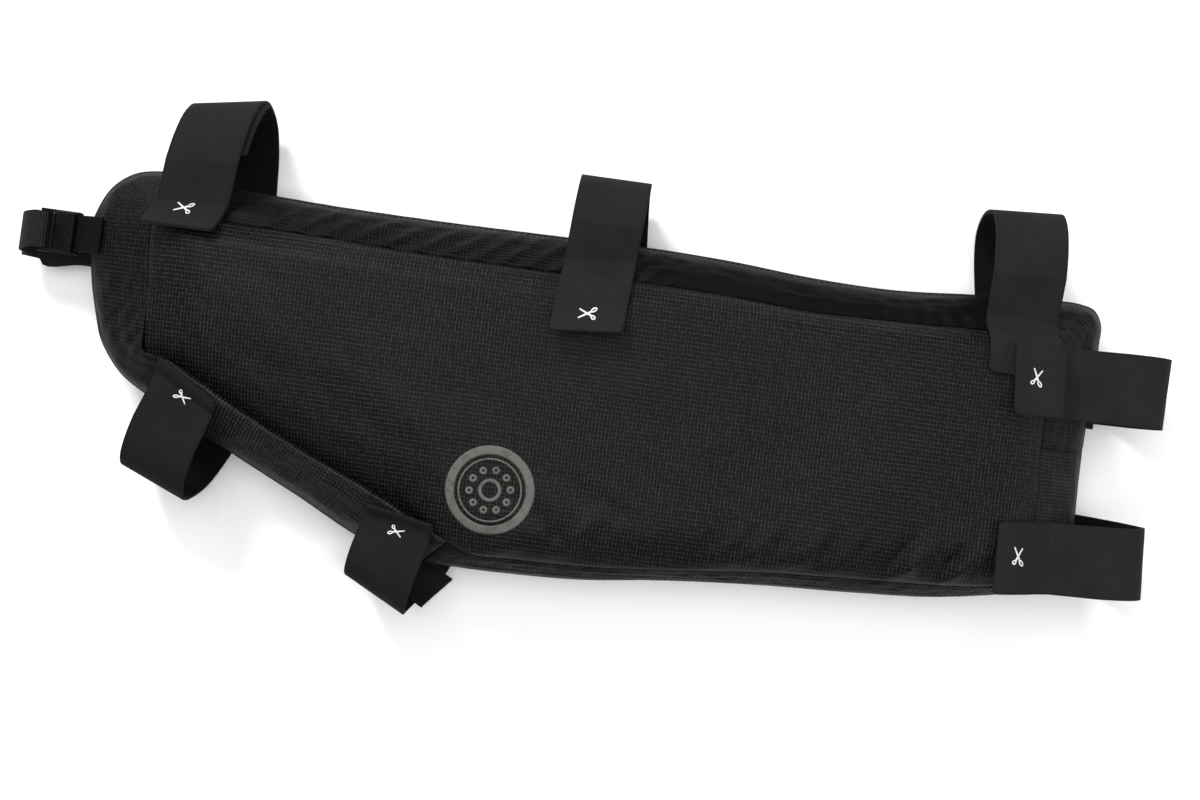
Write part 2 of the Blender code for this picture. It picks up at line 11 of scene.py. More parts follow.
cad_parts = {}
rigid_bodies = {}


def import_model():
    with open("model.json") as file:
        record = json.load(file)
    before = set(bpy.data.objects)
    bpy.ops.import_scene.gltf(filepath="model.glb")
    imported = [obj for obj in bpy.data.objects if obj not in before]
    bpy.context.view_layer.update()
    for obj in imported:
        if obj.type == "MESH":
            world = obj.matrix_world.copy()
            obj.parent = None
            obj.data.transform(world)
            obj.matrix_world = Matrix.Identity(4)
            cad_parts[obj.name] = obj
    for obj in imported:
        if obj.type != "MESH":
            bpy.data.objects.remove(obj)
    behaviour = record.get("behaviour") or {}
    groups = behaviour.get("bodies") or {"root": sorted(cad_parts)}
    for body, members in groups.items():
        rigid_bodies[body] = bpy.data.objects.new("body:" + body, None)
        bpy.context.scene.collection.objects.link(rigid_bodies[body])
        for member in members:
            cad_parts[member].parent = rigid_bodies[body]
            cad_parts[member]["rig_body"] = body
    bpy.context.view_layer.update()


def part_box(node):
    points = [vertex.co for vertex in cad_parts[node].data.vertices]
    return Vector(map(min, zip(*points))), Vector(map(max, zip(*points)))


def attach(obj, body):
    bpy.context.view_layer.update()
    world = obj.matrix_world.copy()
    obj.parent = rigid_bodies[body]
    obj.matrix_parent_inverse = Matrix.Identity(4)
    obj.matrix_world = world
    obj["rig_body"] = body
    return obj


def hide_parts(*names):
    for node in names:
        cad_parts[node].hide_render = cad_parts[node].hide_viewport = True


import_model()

bl_info = {
    "name": "Bicycle Frame Bag",
    "version": (1, 0, 0),
    "blender": (4, 5, 0),
    "location": "View3D > Sidebar > Frame Bag",
    "description": "Builds a ripstop frame bag with hook-and-loop bands over its packed solids",
    "category": "Object",
}

BODY = "root"

# Sizes shared with the solids, in metres.
BAG_LENGTH = 0.555
BAG_HEIGHT = 0.192
SEAM_THICKNESS = 0.053
BACK_SEAM_HEIGHT = 0.001
FRONT_SEAM_HEIGHT = BACK_SEAM_HEIGHT + SEAM_THICKNESS
STRIP_WIDTHS = {"nose": 0.038, "top": 0.0215, "rear": 0.029, "bottom": 0.0095, "lower": 0.027}
CLOTH_INSET = 0.0018
FRONT_CLOTH_INSET = 0.00015
BACK_CLOTH_HEIGHT = 0.0016
STRAP_WIDTH = 0.038
STRAP_REST_HEIGHT = 0.0013
STRAP_LOOP_HEIGHT = 0.0585
STRAP_REACH = 0.040
STRAP_LAP = 0.050
STRAP_TAB_START = 0.002
STRAP_TAB_LENGTH = 0.009
STRAP_TAB_STEEPNESS = 0.6
STRAP_LAP_FALL = 0.35
WEBBING_WIDTH = 0.020
WEBBING_SEAT = 0.010
BUCKLE_BAR_RADIUS = 0.0017
BUCKLE_LENGTH = 0.022
BUCKLE_GRIP_LENGTH = 0.009
BUCKLE_GRIP_INSET = 0.0039
BUCKLE_GRIP_HEIGHT = 0.0075
BUCKLE_RAIL_HEIGHT = 0.005
BUCKLE_RAIL = 0.0016
BUCKLE_SPAN = 0.0218
BUCKLE_LEVER_LENGTH = 0.0128
BUCKLE_LEVER_THICKNESS = 0.0027
BUCKLE_LEVER_TILT = 12.0
BUCKLE_GAP = 0.0065
NOSE_STRAP_DROP = 0.006
NOSE_STRAP_REACH = 0.013
NOSE_TAB_SHOULDER = 0.6
NOSE_STATION = 4
PIECE_GAP = 0.0003
# The ladder lock's lever and the rib on it: ahead of the grip, over the bars, size and rounding.
BUCKLE_PLATES = (
    (0.0024, 0.0046, (BUCKLE_LEVER_LENGTH, BUCKLE_SPAN, BUCKLE_LEVER_THICKNESS), 0.0011),
    (-0.0032, 0.0052, (0.0016, BUCKLE_SPAN * 0.86, BUCKLE_LEVER_THICKNESS * 0.6), 0.0005),
)
FRONT_STITCH_INSET = 0.0022
RIDGE_STITCH_INSET = 0.0016
BOTTOM_STITCH_OFFSETS = (-0.0022, -0.0046, -0.0070)
STITCH_SINK = 0.35

# How finely the pieces are divided.
FRONT_GRID, FRONT_CROWDING = (340, 124), 0.55
BACK_GRID, BACK_CROWDING = (150, 54), 0.3
SIDE_CLOTH_STEP = 0.0013
SECTION_STEPS = 7
SHIFT_SAMPLES = 88
SEAM_LINE_STEPS = 400
RIBBON_STEPS = 6
RIBBON_ROWS = 24
BAND_SAMPLES = 6
BAND_LOOP_STEPS = 7
BAND_LAP_STEP = 0.0015
BAND_ROWS = 16
HOOK_PATCH_ROWS = 12
TINY = 1e-9

# Stations round the bag, clockwise from the lower nose corner. edge: the side cloth it belongs to.
# along, up: the ridge as shares of BAG_LENGTH and BAG_HEIGHT. inset: the way to the front seam as
# a share of that edge's strip width. toward: the direction of that way in degrees.
STATIONS = (
    ("nose", 0.046, 0.414, 0.60, 36.0),
    ("nose", 0.025, 0.490, 0.785, 13.6),
    ("nose", 0.014, 0.578, 0.93, 6.5),
    ("nose", 0.005, 0.682, 1.02, 4.0),
    ("nose", 0.000, 0.838, 1.06, -11.5),
    ("nose", 0.017, 0.942, 0.975, -34.5),
    ("nose", 0.034, 0.979, 0.884, -45.6),
    ("nose", 0.061, 0.997, 0.767, -59.0),
    ("top", 0.096, 0.990, 1.14, -73.0),
    ("top", 0.140, 0.978, 0.99, -90.0),
    ("top", 0.209, 0.969, 0.93, -90.0),
    ("top", 0.323, 0.966, 0.97, -90.0),
    ("top", 0.463, 0.971, 1.02, -90.0),
    ("top", 0.546, 0.974, 1.00, -90.0),
    ("top", 0.625, 0.969, 0.98, -90.0),
    ("top", 0.714, 0.953, 0.94, -90.0),
    ("top", 0.784, 0.951, 0.87, -90.0),
    ("top", 0.883, 0.974, 0.98, -90.0),
    ("top", 0.948, 0.986, 1.10, -99.7),
    ("rear", 0.973, 0.986, 0.99, -122.5),
    ("rear", 0.989, 0.974, 1.14, -134.6),
    ("rear", 0.9965, 0.943, 1.145, -143.0),
    ("rear", 0.998, 0.875, 1.00, -157.7),
    ("rear", 0.9965, 0.625, 1.05, -180.0),
    ("rear", 0.9965, 0.513, 1.02, -180.0),
    ("rear", 0.998, 0.391, 1.00, -180.0),
    ("rear", 1.000, 0.266, 1.02, -180.0),
    ("rear", 0.9965, 0.208, 0.966, -182.0),
    ("rear", 0.984, 0.169, 0.83, -186.0),
    ("bottom", 0.960, 0.154, 2.03, -190.4),
    ("bottom", 0.933, 0.135, 1.57, -200.4),
    ("bottom", 0.876, 0.104, 0.95, -257.5),
    ("bottom", 0.795, 0.083, 1.05, -270.0),
    ("bottom", 0.694, 0.065, 1.00, -270.0),
    ("bottom", 0.595, 0.038, 0.86, -270.0),
    ("bottom", 0.523, 0.010, 1.05, -270.0),
    ("bottom", 0.459, 0.000, 1.12, -270.0),
    ("bottom", 0.407, -0.003, 1.22, -290.0),
    ("lower", 0.366, 0.000, 0.785, -315.0),
    ("lower", 0.339, 0.008, 0.99, -312.0),
    ("lower", 0.299, 0.047, 1.077, -298.8),
    ("lower", 0.240, 0.130, 0.987, -296.8),
    ("lower", 0.168, 0.227, 0.96, -297.6),
    ("lower", 0.079, 0.354, 0.946, -300.6),
)
# The stations at the front cloth's corners, and at the bag's lower corner.
NOSE_FOOT, NOSE_HEAD, REAR_HEAD, REAR_FOOT = 0, 6, 20, 28
LOWER_CORNER = 38
STEPS_BETWEEN_STATIONS = 24
SEAM_CORNERS = (NOSE_FOOT, NOSE_HEAD, REAR_HEAD, REAR_FOOT, len(STATIONS))
# The side cloths: piece, the solid it stands for, its first and last station. Stations are
# counted on past the last one, so that 44 is the first again.
SIDES = (
    ("nose_side_cloth", "nose_gusset", 43, 52),
    ("top_side_cloth", "top_gusset", 8, 18),
    ("rear_side_cloth", "rear_gusset", 18, 29),
    ("bottom_side_cloth", "bottom_gusset", 29, 38),
    ("lower_side_cloth", "lower_gusset", 38, 43),
)
# The side cloth's section from the front seam over the ridge to the back seam. out: share of the
# way from the seam to the ridge. rise: share of SEAM_THICKNESS.
SIDE_SECTION = (
    (0.00, 1.00),
    (0.47, 0.83),
    (0.91, 0.63),
    (1.00, 0.50),
    (0.91, 0.37),
    (0.47, 0.17),
    (0.00, 0.00),
)
# Folds of the front cloth. along, up: the middle as shares of the bag's length and height.
# slant: direction in degrees. run, breadth: half sizes in millimetres. rise: in millimetres.
FRONT_FOLDS = (
    (0.455, 0.095, 38.0, 21.0, 6.7, 2.0),
    (0.498, 0.105, 42.0, 23.0, 6.7, 1.5),
    (0.668, 0.140, 35.0, 23.0, 7.7, 1.8),
    (0.716, 0.150, 40.0, 25.0, 7.7, 2.0),
    (0.768, 0.155, 42.0, 25.0, 7.7, 1.8),
    (0.826, 0.165, 44.0, 25.0, 7.7, 1.6),
    (0.884, 0.190, 48.0, 27.0, 8.6, 1.5),
    (0.333, 0.823, -1.0, 16.0, 4.6, -1.6),
    (0.819, 0.215, 60.0, 15.0, 3.4, -2.6),
    (0.834, 0.200, 52.0, 12.0, 3.2, 2.2),
    (0.868, 0.215, 58.0, 11.0, 3.0, -2.2),
    (0.879, 0.198, 53.0, 9.0, 2.8, 1.6),
    (0.705, 0.205, 62.0, 9.0, 3.2, -1.6),
    (0.690, 0.190, 58.0, 9.0, 3.0, 1.0),
    (0.751, 0.212, 64.0, 9.0, 3.2, -1.9),
    (0.738, 0.200, 60.0, 9.0, 3.0, 1.1),
    (0.783, 0.215, 62.0, 10.0, 3.0, -1.9),
    (0.772, 0.205, 60.0, 9.0, 2.8, 1.1),
    (0.661, 0.190, 56.0, 10.0, 3.4, 1.4),
    (0.640, 0.180, 54.0, 11.0, 4.0, -1.1),
    (0.517, 0.155, 60.0, 10.0, 3.6, 1.5),
    (0.500, 0.150, 58.0, 11.0, 3.8, -1.5),
    (0.540, 0.170, 58.0, 12.0, 4.2, -1.0),
    (0.527, 0.255, -20.0, 24.0, 5.5, -1.3),
    (0.472, 0.190, -36.0, 24.0, 5.0, -1.6),
    (0.432, 0.110, 40.0, 14.0, 4.0, -1.2),
    (0.300, 0.390, -28.0, 46.0, 9.0, -1.0),
    (0.210, 0.470, -30.0, 34.0, 8.0, -1.0),
    (0.120, 0.560, 62.0, 22.0, 5.0, 0.8),
    (0.160, 0.500, 58.0, 26.0, 6.0, -0.9),
)
# A fold ends at so many half sizes from its middle.
FOLD_REACH = 3.0
# How far from the edges the front cloth's folds and creases have their full height, in metres.
EDGE_FADE = 0.010
# At the lower corner the slanted edge's roll-off gives way to the bottom edge's: how far before
# the corner that starts, over what length, and how far it moves the slanted edge's turn out.
CORNER_START, CORNER_RUN, CORNER_AWAY = 0.010, 0.060, 0.030
# How the cloths turn down into the front seam. side: depth and half width in millimetres, first on
# the side cloth and then on the front cloth.
SEAM_TURNS = {
    "nose": (0.4, 1.4, 0.4, 1.2),
    "top": (2.8, 3.8, 1.0, 1.3),
    "rear": (0.5, 1.4, 0.5, 1.2),
    "bottom": (1.0, 1.6, 0.9, 1.4),
    "lower": (4.5, 1.2, 5.4, 13.0),
}
# The depth all the side cloths share where two of them meet, in millimetres, and how far from
# there it has passed into their own, in metres.
JOINT_TURN = 0.5
JOINT_RUN = 0.030
# How far each side cloth bulges between its seam and its ridge, in millimetres.
SIDE_BULGES = {"nose": 0.3, "top": 1.6, "rear": 0.3, "bottom": 0.3, "lower": 1.0}
# Puckers of the side cloths. piece, where along it they start and stop as shares, pitch and height
# in millimetres, slant: how far they lean along the cloth for each step away from the seam.
SIDE_PUCKERS = (
    ("top_side_cloth", 0.10, 0.54, 15.5, 2.6, 1.3),
    ("top_side_cloth", 0.80, 1.00, 11.0, 0.7, -0.8),
    ("nose_side_cloth", 0.12, 0.45, 19.0, 1.1, -1.6),
    ("lower_side_cloth", 0.02, 0.98, 21.0, 1.0, 1.0),
    ("rear_side_cloth", 0.10, 0.95, 19.0, 0.6, 0.6),
    ("bottom_side_cloth", 0.05, 0.95, 14.0, 0.9, 0.8),
)
# The share of a side cloth's length over which puckers start and stop.
PUCKER_FADE = 0.03
# The darker, matter band at the ridge: where it starts on the way to the ridge, and over what share it
# comes in.
RIDGE_DARK_START, RIDGE_DARK_FADE = 0.93, 0.05
# The cross seam of the rear side cloth, as a share of the bag's height, and its groove.
CROSS_SEAM_UP = 0.573
CROSS_SEAM_DEPTH = 0.0018
CROSS_SEAM_BREADTH = 0.0013
# The stretch of the top side cloth, in metres from its nose end, whose coating hides the grid.
SMOOTH_FLAP = (0.244, 0.452)
# The bands: the piece, the solid it stands for, the ridge place, outward direction, reach and lap
# of its loop as shares of the usual ones, sideways drift of the fold and the free end as shares
# of the width, and their twist in degrees.
BANDS = (
    ("band_top_nose", "strap_top_nose", 0.130, 0.979, 90.0, 1.09, 0.56, -0.079, -0.408, 10.0, 0.0),
    ("band_top_middle", "strap_top_middle", 0.511, 0.973, 90.0, 0.81, 1.04, -0.079, -0.211, 0.0, 5.5),
    ("band_top_rear", "strap_top_rear", 0.916, 0.982, 90.0, 1.10, 0.90, -0.190, -0.070, 4.0, -3.0),
    ("band_rear_upper", "strap_rear_upper", 0.997, 0.755, 0.0, 0.88, 1.07, -0.013, 0.061, 0.0, 6.4),
    ("band_rear_lower", "strap_rear_lower", 0.999, 0.289, 0.0, 0.84, 1.01, 0.029, 0.197, 4.4, 2.8),
    ("band_lower_nose", "strap_lower_nose", 0.128, 0.284, -115.8, 0.85, 0.48, 0.000, 0.308, 3.6, -6.0),
    ("band_lower_middle", "strap_lower_middle", 0.357, -0.003, -115.8, 0.585, 0.43, 0.153, 0.453,
     -1.4, 15.7),
)
# A band's loop from its sewn tab round to the front, as shares of its reach and loop height.
BAND_LOOP = (
    (-0.20, 0.085),
    (-0.06, 0.020),
    (0.22, 0.000),
    (0.52, 0.020),
    (0.78, 0.110),
    (0.95, 0.330),
    (1.00, 0.600),
    (0.95, 0.780),
    (0.78, 0.920),
    (0.50, 0.990),
    (0.20, 1.000),
)
# The hook patches that show inside two loops. band, where the patch starts and stops as shares of
# the band's length, how far inside the band it lies and how far it slides sideways, in metres.
HOOK_PATCHES = (
    ("band_top_nose", 0.52, 0.75, 0.0023, 0.0040),
    ("band_lower_middle", 0.16, 0.40, 0.0023, -0.0060),
)
HOOK_PATCH_SHARE = 0.94
HOOK_PATCH_THICKNESS = 0.0014
# How far a band's free end stands up from what it lies on, and from where on, in metres.
BAND_END_RUN = 0.030
BAND_END_LIFTS = {"band_top_nose": 0.0050, "band_top_middle": 0.0095, "band_rear_upper": 0.0020,
                  "band_rear_lower": 0.0015, "band_lower_nose": 0.0015}
# The scissors marks. band, x, y in metres, the direction of the blades in degrees, and the size as
# a share of the marks' length.
SCISSORS = (
    ("band_top_nose", -0.2195, 0.0680, 178.7, 0.94),
    ("band_top_middle", -0.0004, 0.0414, 186.8, 0.96),
    ("band_rear_upper", 0.2350, 0.0406, 88.8, 0.90),
    ("band_rear_lower", 0.2399, -0.0533, 95.2, 0.98),
    ("band_lower_nose", -0.2078, -0.0311, -29.6, 0.79),
    ("band_lower_middle", -0.0856, -0.0859, -14.4, 0.77),
)
# Parts of a mark as shares of its length, with the pivot at 0 and the blades ahead. A blade runs
# from its finger ring to its tip. A ring has its middle, long and short radius and direction.
SCISSORS_BLADES = (
    (-0.140, 0.105, 0.415, -0.225),
    (-0.140, -0.095, 0.475, 0.205),
)
SCISSORS_RINGS = (
    (-0.262, -0.180, 0.172, 0.100, 34.0),
    (-0.220, 0.180, 0.124, 0.106, -40.0),
)
# A mark's line as a share of its length, and a blade's breadth in lines and its taper.
SCISSORS_LINE = 0.068
BLADE_BREADTH, BLADE_TAPER = 1.45, 0.62
# The prints: their thickness, and how far the marks and the round print lie over the cloth.
PRINT_THICKNESS = 0.00015
MARK_LIFT, ROUND_PRINT_LIFT = 0.00025, 0.0002
# The middle of the round print.
ROUND_PRINT_PLACE = (-0.0388, -0.0569)
# The rings of the round print: radius and stroke as shares of its radius, segments, loops.
ROUND_PRINT_RINGS = ((1.0, 0.20, 96, 4), (0.72, 0.04, 80, 1), (0.26, 0.08, 32, 1))
# The small rings round its middle: their number, how far out, radius, stroke, segments.
ROUND_PRINT_SPOTS = (10, 0.46, 0.09, 0.06, 14)
# The small woven tab at the rear edge.
REAR_TAB_PLACE = (0.2772, 0.0222, 0.0275)
REAR_TAB_SIZE = (0.0072, 0.0056, 0.0030)
REAR_TAB_ROUNDING = 0.0007
# The camera straight above: place in metres, roll in degrees and lens in millimetres.
CAMERA_PLACE = (0.0118, -0.0021, 0.861)
CAMERA_ROLL = 8.0
CAMERA_LENS = 45.69
# The lights: name, place, what they look at, diameter, and the setting with their power.
LIGHTS = (
    ("nose_side_softbox", (-0.86, 1.50, 1.40), (0.0, 0.0, 0.04), 0.60, "key_power"),
    ("overhead_softbox", (-0.15, 0.25, 2.1), (0.0, 0.0, 0.0), 1.8, "fill_power"),
    ("rear_side_softbox", (1.45, -0.10, 0.95), (0.0, 0.0, 0.04), 0.60, "rear_power"),
)
# How much darker or paler than the front cloth each side cloth and its gloss are made: painted shade
# and painted light, standing in for how the lamps fall on each side of the bag.
PAINTED_CLOTH_SHADES = {"nose cloth": 0.84, "rear cloth": 1.0, "bottom cloth": 0.56, "lower cloth": 1.28}
# The cloth's colour wanders between a colder and a milder tone.
COLD_TONE, MILD_TONE = (0.92, 0.90, 1.01), (1.11, 1.08, 0.99)
# How far the ripstop threads stray, the pitch of the fine weave between them, and where a band's
# woven edge starts and is whole, from its middle, all in metres.
THREAD_SWAY = 0.0014
FINE_WEAVE = 0.00045
BAND_SELVEDGE = (0.0172, 0.0180)


def metres(name, description, default):
    return FloatProperty(name=name, description=description, default=default, unit="LENGTH")


def watts(name, description, default):
    return FloatProperty(name=name, description=description, default=default, unit="POWER")


def tint(name, description, default):
    return FloatVectorProperty(name=name, description=description, default=default,
                               subtype="COLOR", size=3, min=0.0, max=1.0)


class BagClothSettings(bpy.types.PropertyGroup):
    """Sizes and colours of the ripstop cloth."""
    thickness: metres("Thickness", "Cloth thickness", 0.0013)
    crown: metres("Crown", "How far the front cloth stands over its seam", 0.010)
    top_roll: metres("Top roll", "Width of the roll-off to the top seam", 0.022)
    lower_roll: metres("Lower roll", "Width of the roll-off to the lower seam", 0.050)
    end_roll: metres("End roll", "Width of the roll-off to the ends", 0.045)
    crease: metres("Crease", "Depth of the small random creases", 0.0006)
    ripstop_length: metres("Ripstop length", "Distance between the threads across", 0.0019)
    ripstop_width: metres("Ripstop width", "Distance between the threads along", 0.0023)
    colour: tint("Colour", "Colour of the cloth", (0.0019, 0.0017, 0.0017))
    thread_colour: tint("Ripstop thread", "Colour of the stronger threads",
                        (0.0300, 0.0274, 0.0258))


class BandSettings(bpy.types.PropertyGroup):
    """Sizes and colours of the hook-and-loop bands and the nose webbing."""
    thickness: metres("Thickness", "Band thickness", 0.0020)
    corner: metres("Corner", "Corner radius of a free end", 0.0014)
    clearance: metres("Clearance", "Gap between a band and what it lies on", 0.0006)
    colour: tint("Colour", "Colour of the bands", (0.0152, 0.0142, 0.0135))
    webbing_thickness: metres("Webbing thickness", "Thickness of the nose webbing", 0.0014)
    webbing_colour: tint("Webbing colour", "Colour of the nose webbing", (0.0070, 0.0066, 0.0060))
    mark_length: metres("Mark length", "Length of a printed scissors mark", 0.0118)


class TrimSettings(bpy.types.PropertyGroup):
    """Sizes and colours of the stitching and the round print."""
    stitch_length: metres("Stitch length", "Length of one stitch", 0.0024)
    stitch_pitch: metres("Stitch pitch", "Distance from stitch to stitch", 0.0033)
    thread: metres("Thread", "Thickness of the thread", 0.00045)
    thread_colour: tint("Thread colour", "Colour of the sewing thread", (0.0125, 0.0115, 0.0110))
    print_diameter: metres("Print diameter", "Diameter of the round print", 0.047)
    print_colour: tint("Print colour", "Colour of the round print", (0.100, 0.104, 0.094))


class StageSettings(bpy.types.PropertyGroup):
    """The studio's floor and lights."""
    floor_colour: tint("Floor colour", "Colour of the floor", (0.96, 0.96, 0.96))
    key_power: watts("Key power", "Power of the low light from the nose side", 34.0)
    fill_power: watts("Fill power", "Power of the wide overhead light", 27.0)
    rear_power: watts("Rear power", "Power of the weak light from the rear side", 7.0)
    surround: FloatProperty(
        name="Surround", description="Brightness of the pale surround", default=0.49)


def smooth_course(points, steps, closed=False):
    """Points along a smooth curve through the given ones, eased by the distance between them."""
    count = len(points)

    def at(index):
        if closed:
            return points[index % count]
        return points[max(0, min(count - 1, index))]

    def slope(index):
        before, here, after = at(index - 1), at(index), at(index + 1)
        back = (here - before).length
        ahead = (after - here).length
        if back < TINY or ahead < TINY:
            return (after - before) / max(back + ahead, TINY)
        return ((after - here) / ahead * back + (here - before) / back * ahead) / (back + ahead)

    course = []
    for index in range(count if closed else count - 1):
        start, stop = at(index), at(index + 1)
        span = (stop - start).length
        out, into = slope(index) * span, slope(index + 1) * span
        for step in range(steps):
            t = step / steps
            square, cube = t * t, t * t * t
            course.append(
                start * (2 * cube - 3 * square + 1)
                + out * (cube - 2 * square + t)
                + stop * (3 * square - 2 * cube)
                + into * (cube - square)
            )
    if not closed:
        course.append(points[-1])
    return course


def on_ridge(along, up):
    return Vector((along * BAG_LENGTH, up * BAG_HEIGHT))


def ring_course():
    """The ridge and the front seam together, as one closed course of four-part points."""
    points = []
    for edge, along, up, inset, toward in STATIONS:
        ridge = on_ridge(along, up)
        angle = math.radians(toward)
        way = Vector((math.cos(angle), math.sin(angle))) * inset * STRIP_WIDTHS[edge]
        points.append(Vector((*ridge, *(ridge + way))))
    return smooth_course(points, STEPS_BETWEEN_STATIONS, closed=True)


def places_along(points):
    """The distance of each point of a course from the first."""
    places = [0.0]
    for before, after in zip(points, points[1:]):
        places.append(places[-1] + (after - before).length)
    return places


def part_way(points, places, index, wanted):
    """The point of a course at a distance that lies between one point and the next."""
    part = (wanted - places[index]) / max(places[index + 1] - places[index], TINY)
    return points[index].lerp(points[index + 1], part)


def stretch(course, first, last, shares):
    """Points of the course at shares of the way from one station to another, and its length."""
    steps = range(first * STEPS_BETWEEN_STATIONS, last * STEPS_BETWEEN_STATIONS + 1)
    run = [course[step % len(course)] for step in steps]
    places = places_along([point.xy for point in run])
    index, picked = 0, []
    for share in shares:
        wanted = share * places[-1]
        while index < len(places) - 2 and places[index + 1] < wanted:
            index += 1
        picked.append(part_way(run, places, index, wanted))
    return picked, places[-1]


def inset_loop(points, distance):
    """A closed loop that runs clockwise, moved inward by a distance with mitred corners."""
    moved = []
    count = len(points)
    for index, point in enumerate(points):
        back = (point - points[index - 1]).normalized()
        ahead = (points[(index + 1) % count] - point).normalized()
        first = Vector((back.y, -back.x))
        second = Vector((ahead.y, -ahead.x))
        middle = (first + second).normalized()
        moved.append(point + middle * distance / max(middle.dot(first), 0.5))
    return moved


def crowded(count, crowding):
    """Shares from 0 to 1 that lie closer together at both ends."""
    turn = 2 * math.pi
    return [
        index / count - crowding * math.sin(turn * index / count) / turn
        for index in range(count + 1)
    ]


def seam_loop(course, upward, across, inset):
    """The front seam between its four corners, clockwise and moved inward by an inset."""
    loop = []
    for first, last, shares in zip(SEAM_CORNERS, SEAM_CORNERS[1:], (upward, across) * 2):
        loop += [Vector(point[2:]) for point in stretch(course, first, last, shares)[0][:-1]]
    return inset_loop(loop, inset)


def panel_patch(course, columns, rows, crowding, inset):
    """Plan points of a panel between the seam's four rails, as rows from the lower edge up."""
    across, upward = crowded(columns, crowding), crowded(rows, crowding)
    loop = [point + SHIFT for point in seam_loop(course, upward, across, inset)]
    head, tail = rows + columns, 2 * rows + columns
    nose, top = loop[: rows + 1], loop[rows: head + 1]
    rear, under = loop[head: tail + 1][::-1], (loop[tail:] + loop[:1])[::-1]
    patch = []
    for i, up in enumerate(upward):
        patch.append([
            nose[i] * (1 - along) + rear[i] * along + under[j] * (1 - up) + top[j] * up
            - nose[0] * (1 - along) * (1 - up) - rear[0] * along * (1 - up)
            - nose[-1] * (1 - along) * up - rear[-1] * along * up
            for j, along in enumerate(across)
        ])
    return patch, across, upward


def panel_shift(course):
    """How far the stations' own corner lies from the frame's origin."""
    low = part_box("back_panel")[0]
    evenly = [index / SHIFT_SAMPLES for index in range(SHIFT_SAMPLES + 1)]
    loop = seam_loop(course, evenly, evenly, CLOTH_INSET)
    return Vector((low.x - min(p.x for p in loop), low.y - min(p.y for p in loop)))


def ease(distance, width):
    return math.sin(min(max(distance / width, 0.0), 1.0) * math.pi / 2)


def shade_smooth(made):
    for face in made.faces:
        face.smooth = True


def mapped_grid(name, columns, rows, place):
    """A grid of cloth whose points and cloth coordinates come from place(column, row)."""
    made = bmesh.new()
    bmesh.ops.create_grid(made, x_segments=columns, y_segments=rows, size=0.5)
    layer = made.loops.layers.uv.new("Cloth")
    flat = {}
    for vertex in made.verts:
        column = round((vertex.co.x + 0.5) * columns)
        row = round((vertex.co.y + 0.5) * rows)
        vertex.co, flat[vertex] = place(column, row)
    for face in made.faces:
        for corner in face.loops:
            corner[layer].uv = flat[corner.vert]
    shade_smooth(made)
    return finish_mesh(made, name)


def finish_mesh(made, name):
    """Turns a finished bmesh into a linked object."""
    mesh = bpy.data.meshes.new(name)
    made.to_mesh(mesh)
    made.free()
    item = bpy.data.objects.new(name, mesh)
    bpy.context.scene.collection.objects.link(item)
    return item


def thicken(item, thickness, offset, rounding=0.0):
    wall = item.modifiers.new("Cloth", "SOLIDIFY")
    wall.thickness = thickness
    wall.offset = offset
    wall.use_even_offset = True
    if rounding:
        edge = item.modifiers.new("Edge", "BEVEL")
        edge.width = rounding
        edge.segments = 2
        edge.limit_method = "ANGLE"
        edge.angle_limit = math.radians(50)
    return item


def dress(item, material, slot, *solids):
    """Gives a piece its material and its body, and hides the solids it stands for. slot is not used.
    """
    item.data.materials.clear()
    item.data.materials.append(material)
    if solids:
        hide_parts(*solids)
    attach(item, BODY)
    return item


def tree_of(item):
    bpy.context.view_layer.update()
    return BVHTree.FromObject(item, bpy.context.evaluated_depsgraph_get())


def trees_of(*names):
    return [tree_of(bpy.data.objects[name]) for name in names]


def heights_at(trees, x, y, start, way):
    hits = [tree.ray_cast(Vector((x, y, start)), Vector((0.0, 0.0, way)))[0] for tree in trees]
    return [hit.z for hit in hits if hit is not None]


def top_of(trees, x, y):
    """The height of the highest piece under a point, or None outside them all."""
    return max(heights_at(trees, x, y, 1.0, -1.0), default=None)


def underside_of(trees, x, y):
    """The height of the lowest piece over a point, or None outside them all."""
    return min(heights_at(trees, x, y, -1.0, 1.0), default=None)


def node(tree, kind, *links, settings=(), **values):
    """A new node. links go to its inputs in order, and values set inputs by name."""
    made = tree.nodes.new(kind)
    for key, value in dict(settings).items():
        setattr(made, key, value)
    for index, value in enumerate(links):
        join(tree, value, made.inputs[index])
    for key, value in values.items():
        join(tree, value, made.inputs[key.replace("_", " ")])
    return made


def join(tree, value, socket):
    if isinstance(value, bpy.types.NodeSocket):
        tree.links.new(value, socket)
    elif value is not None:
        socket.default_value = value


def sums(tree, operation, *values):
    return node(tree, "ShaderNodeMath", *values, settings={"operation": operation}).outputs[0]


def fade(tree, value, start, stop, low=0.0, high=1.0):
    """A smooth step of a value from one level to another."""
    made = node(tree, "ShaderNodeMapRange", value, start, stop, low, high,
                settings={"interpolation_type": "SMOOTHSTEP"})
    return made.outputs[0]


def plus(tree, *values):
    return sums(tree, "ADD", *values)


def less(tree, *values):
    return sums(tree, "SUBTRACT", *values)


def times(tree, *values):
    return sums(tree, "MULTIPLY", *values)


def blend_colour(tree, share, first, second):
    made = tree.nodes.new("ShaderNodeMix")
    made.data_type = "RGBA"
    join(tree, share, made.inputs[0])
    for value, socket in ((first, made.inputs[6]), (second, made.inputs[7])):
        join(tree, (*value, 1.0) if isinstance(value, tuple) else value, socket)
    return made.outputs[2]


def noise_at(tree, vector, scale, detail=2.0, squeeze=(1.0, 1.0, 1.0)):
    """Noise with so many spots a metre. A squeeze under 1 makes it longer along an axis."""
    spread = node(tree, "ShaderNodeMapping", vector)
    spread.inputs["Scale"].default_value = squeeze
    return node(tree, "ShaderNodeTexNoise", Vector=spread.outputs[0], Scale=scale,
                Detail=detail).outputs[0]


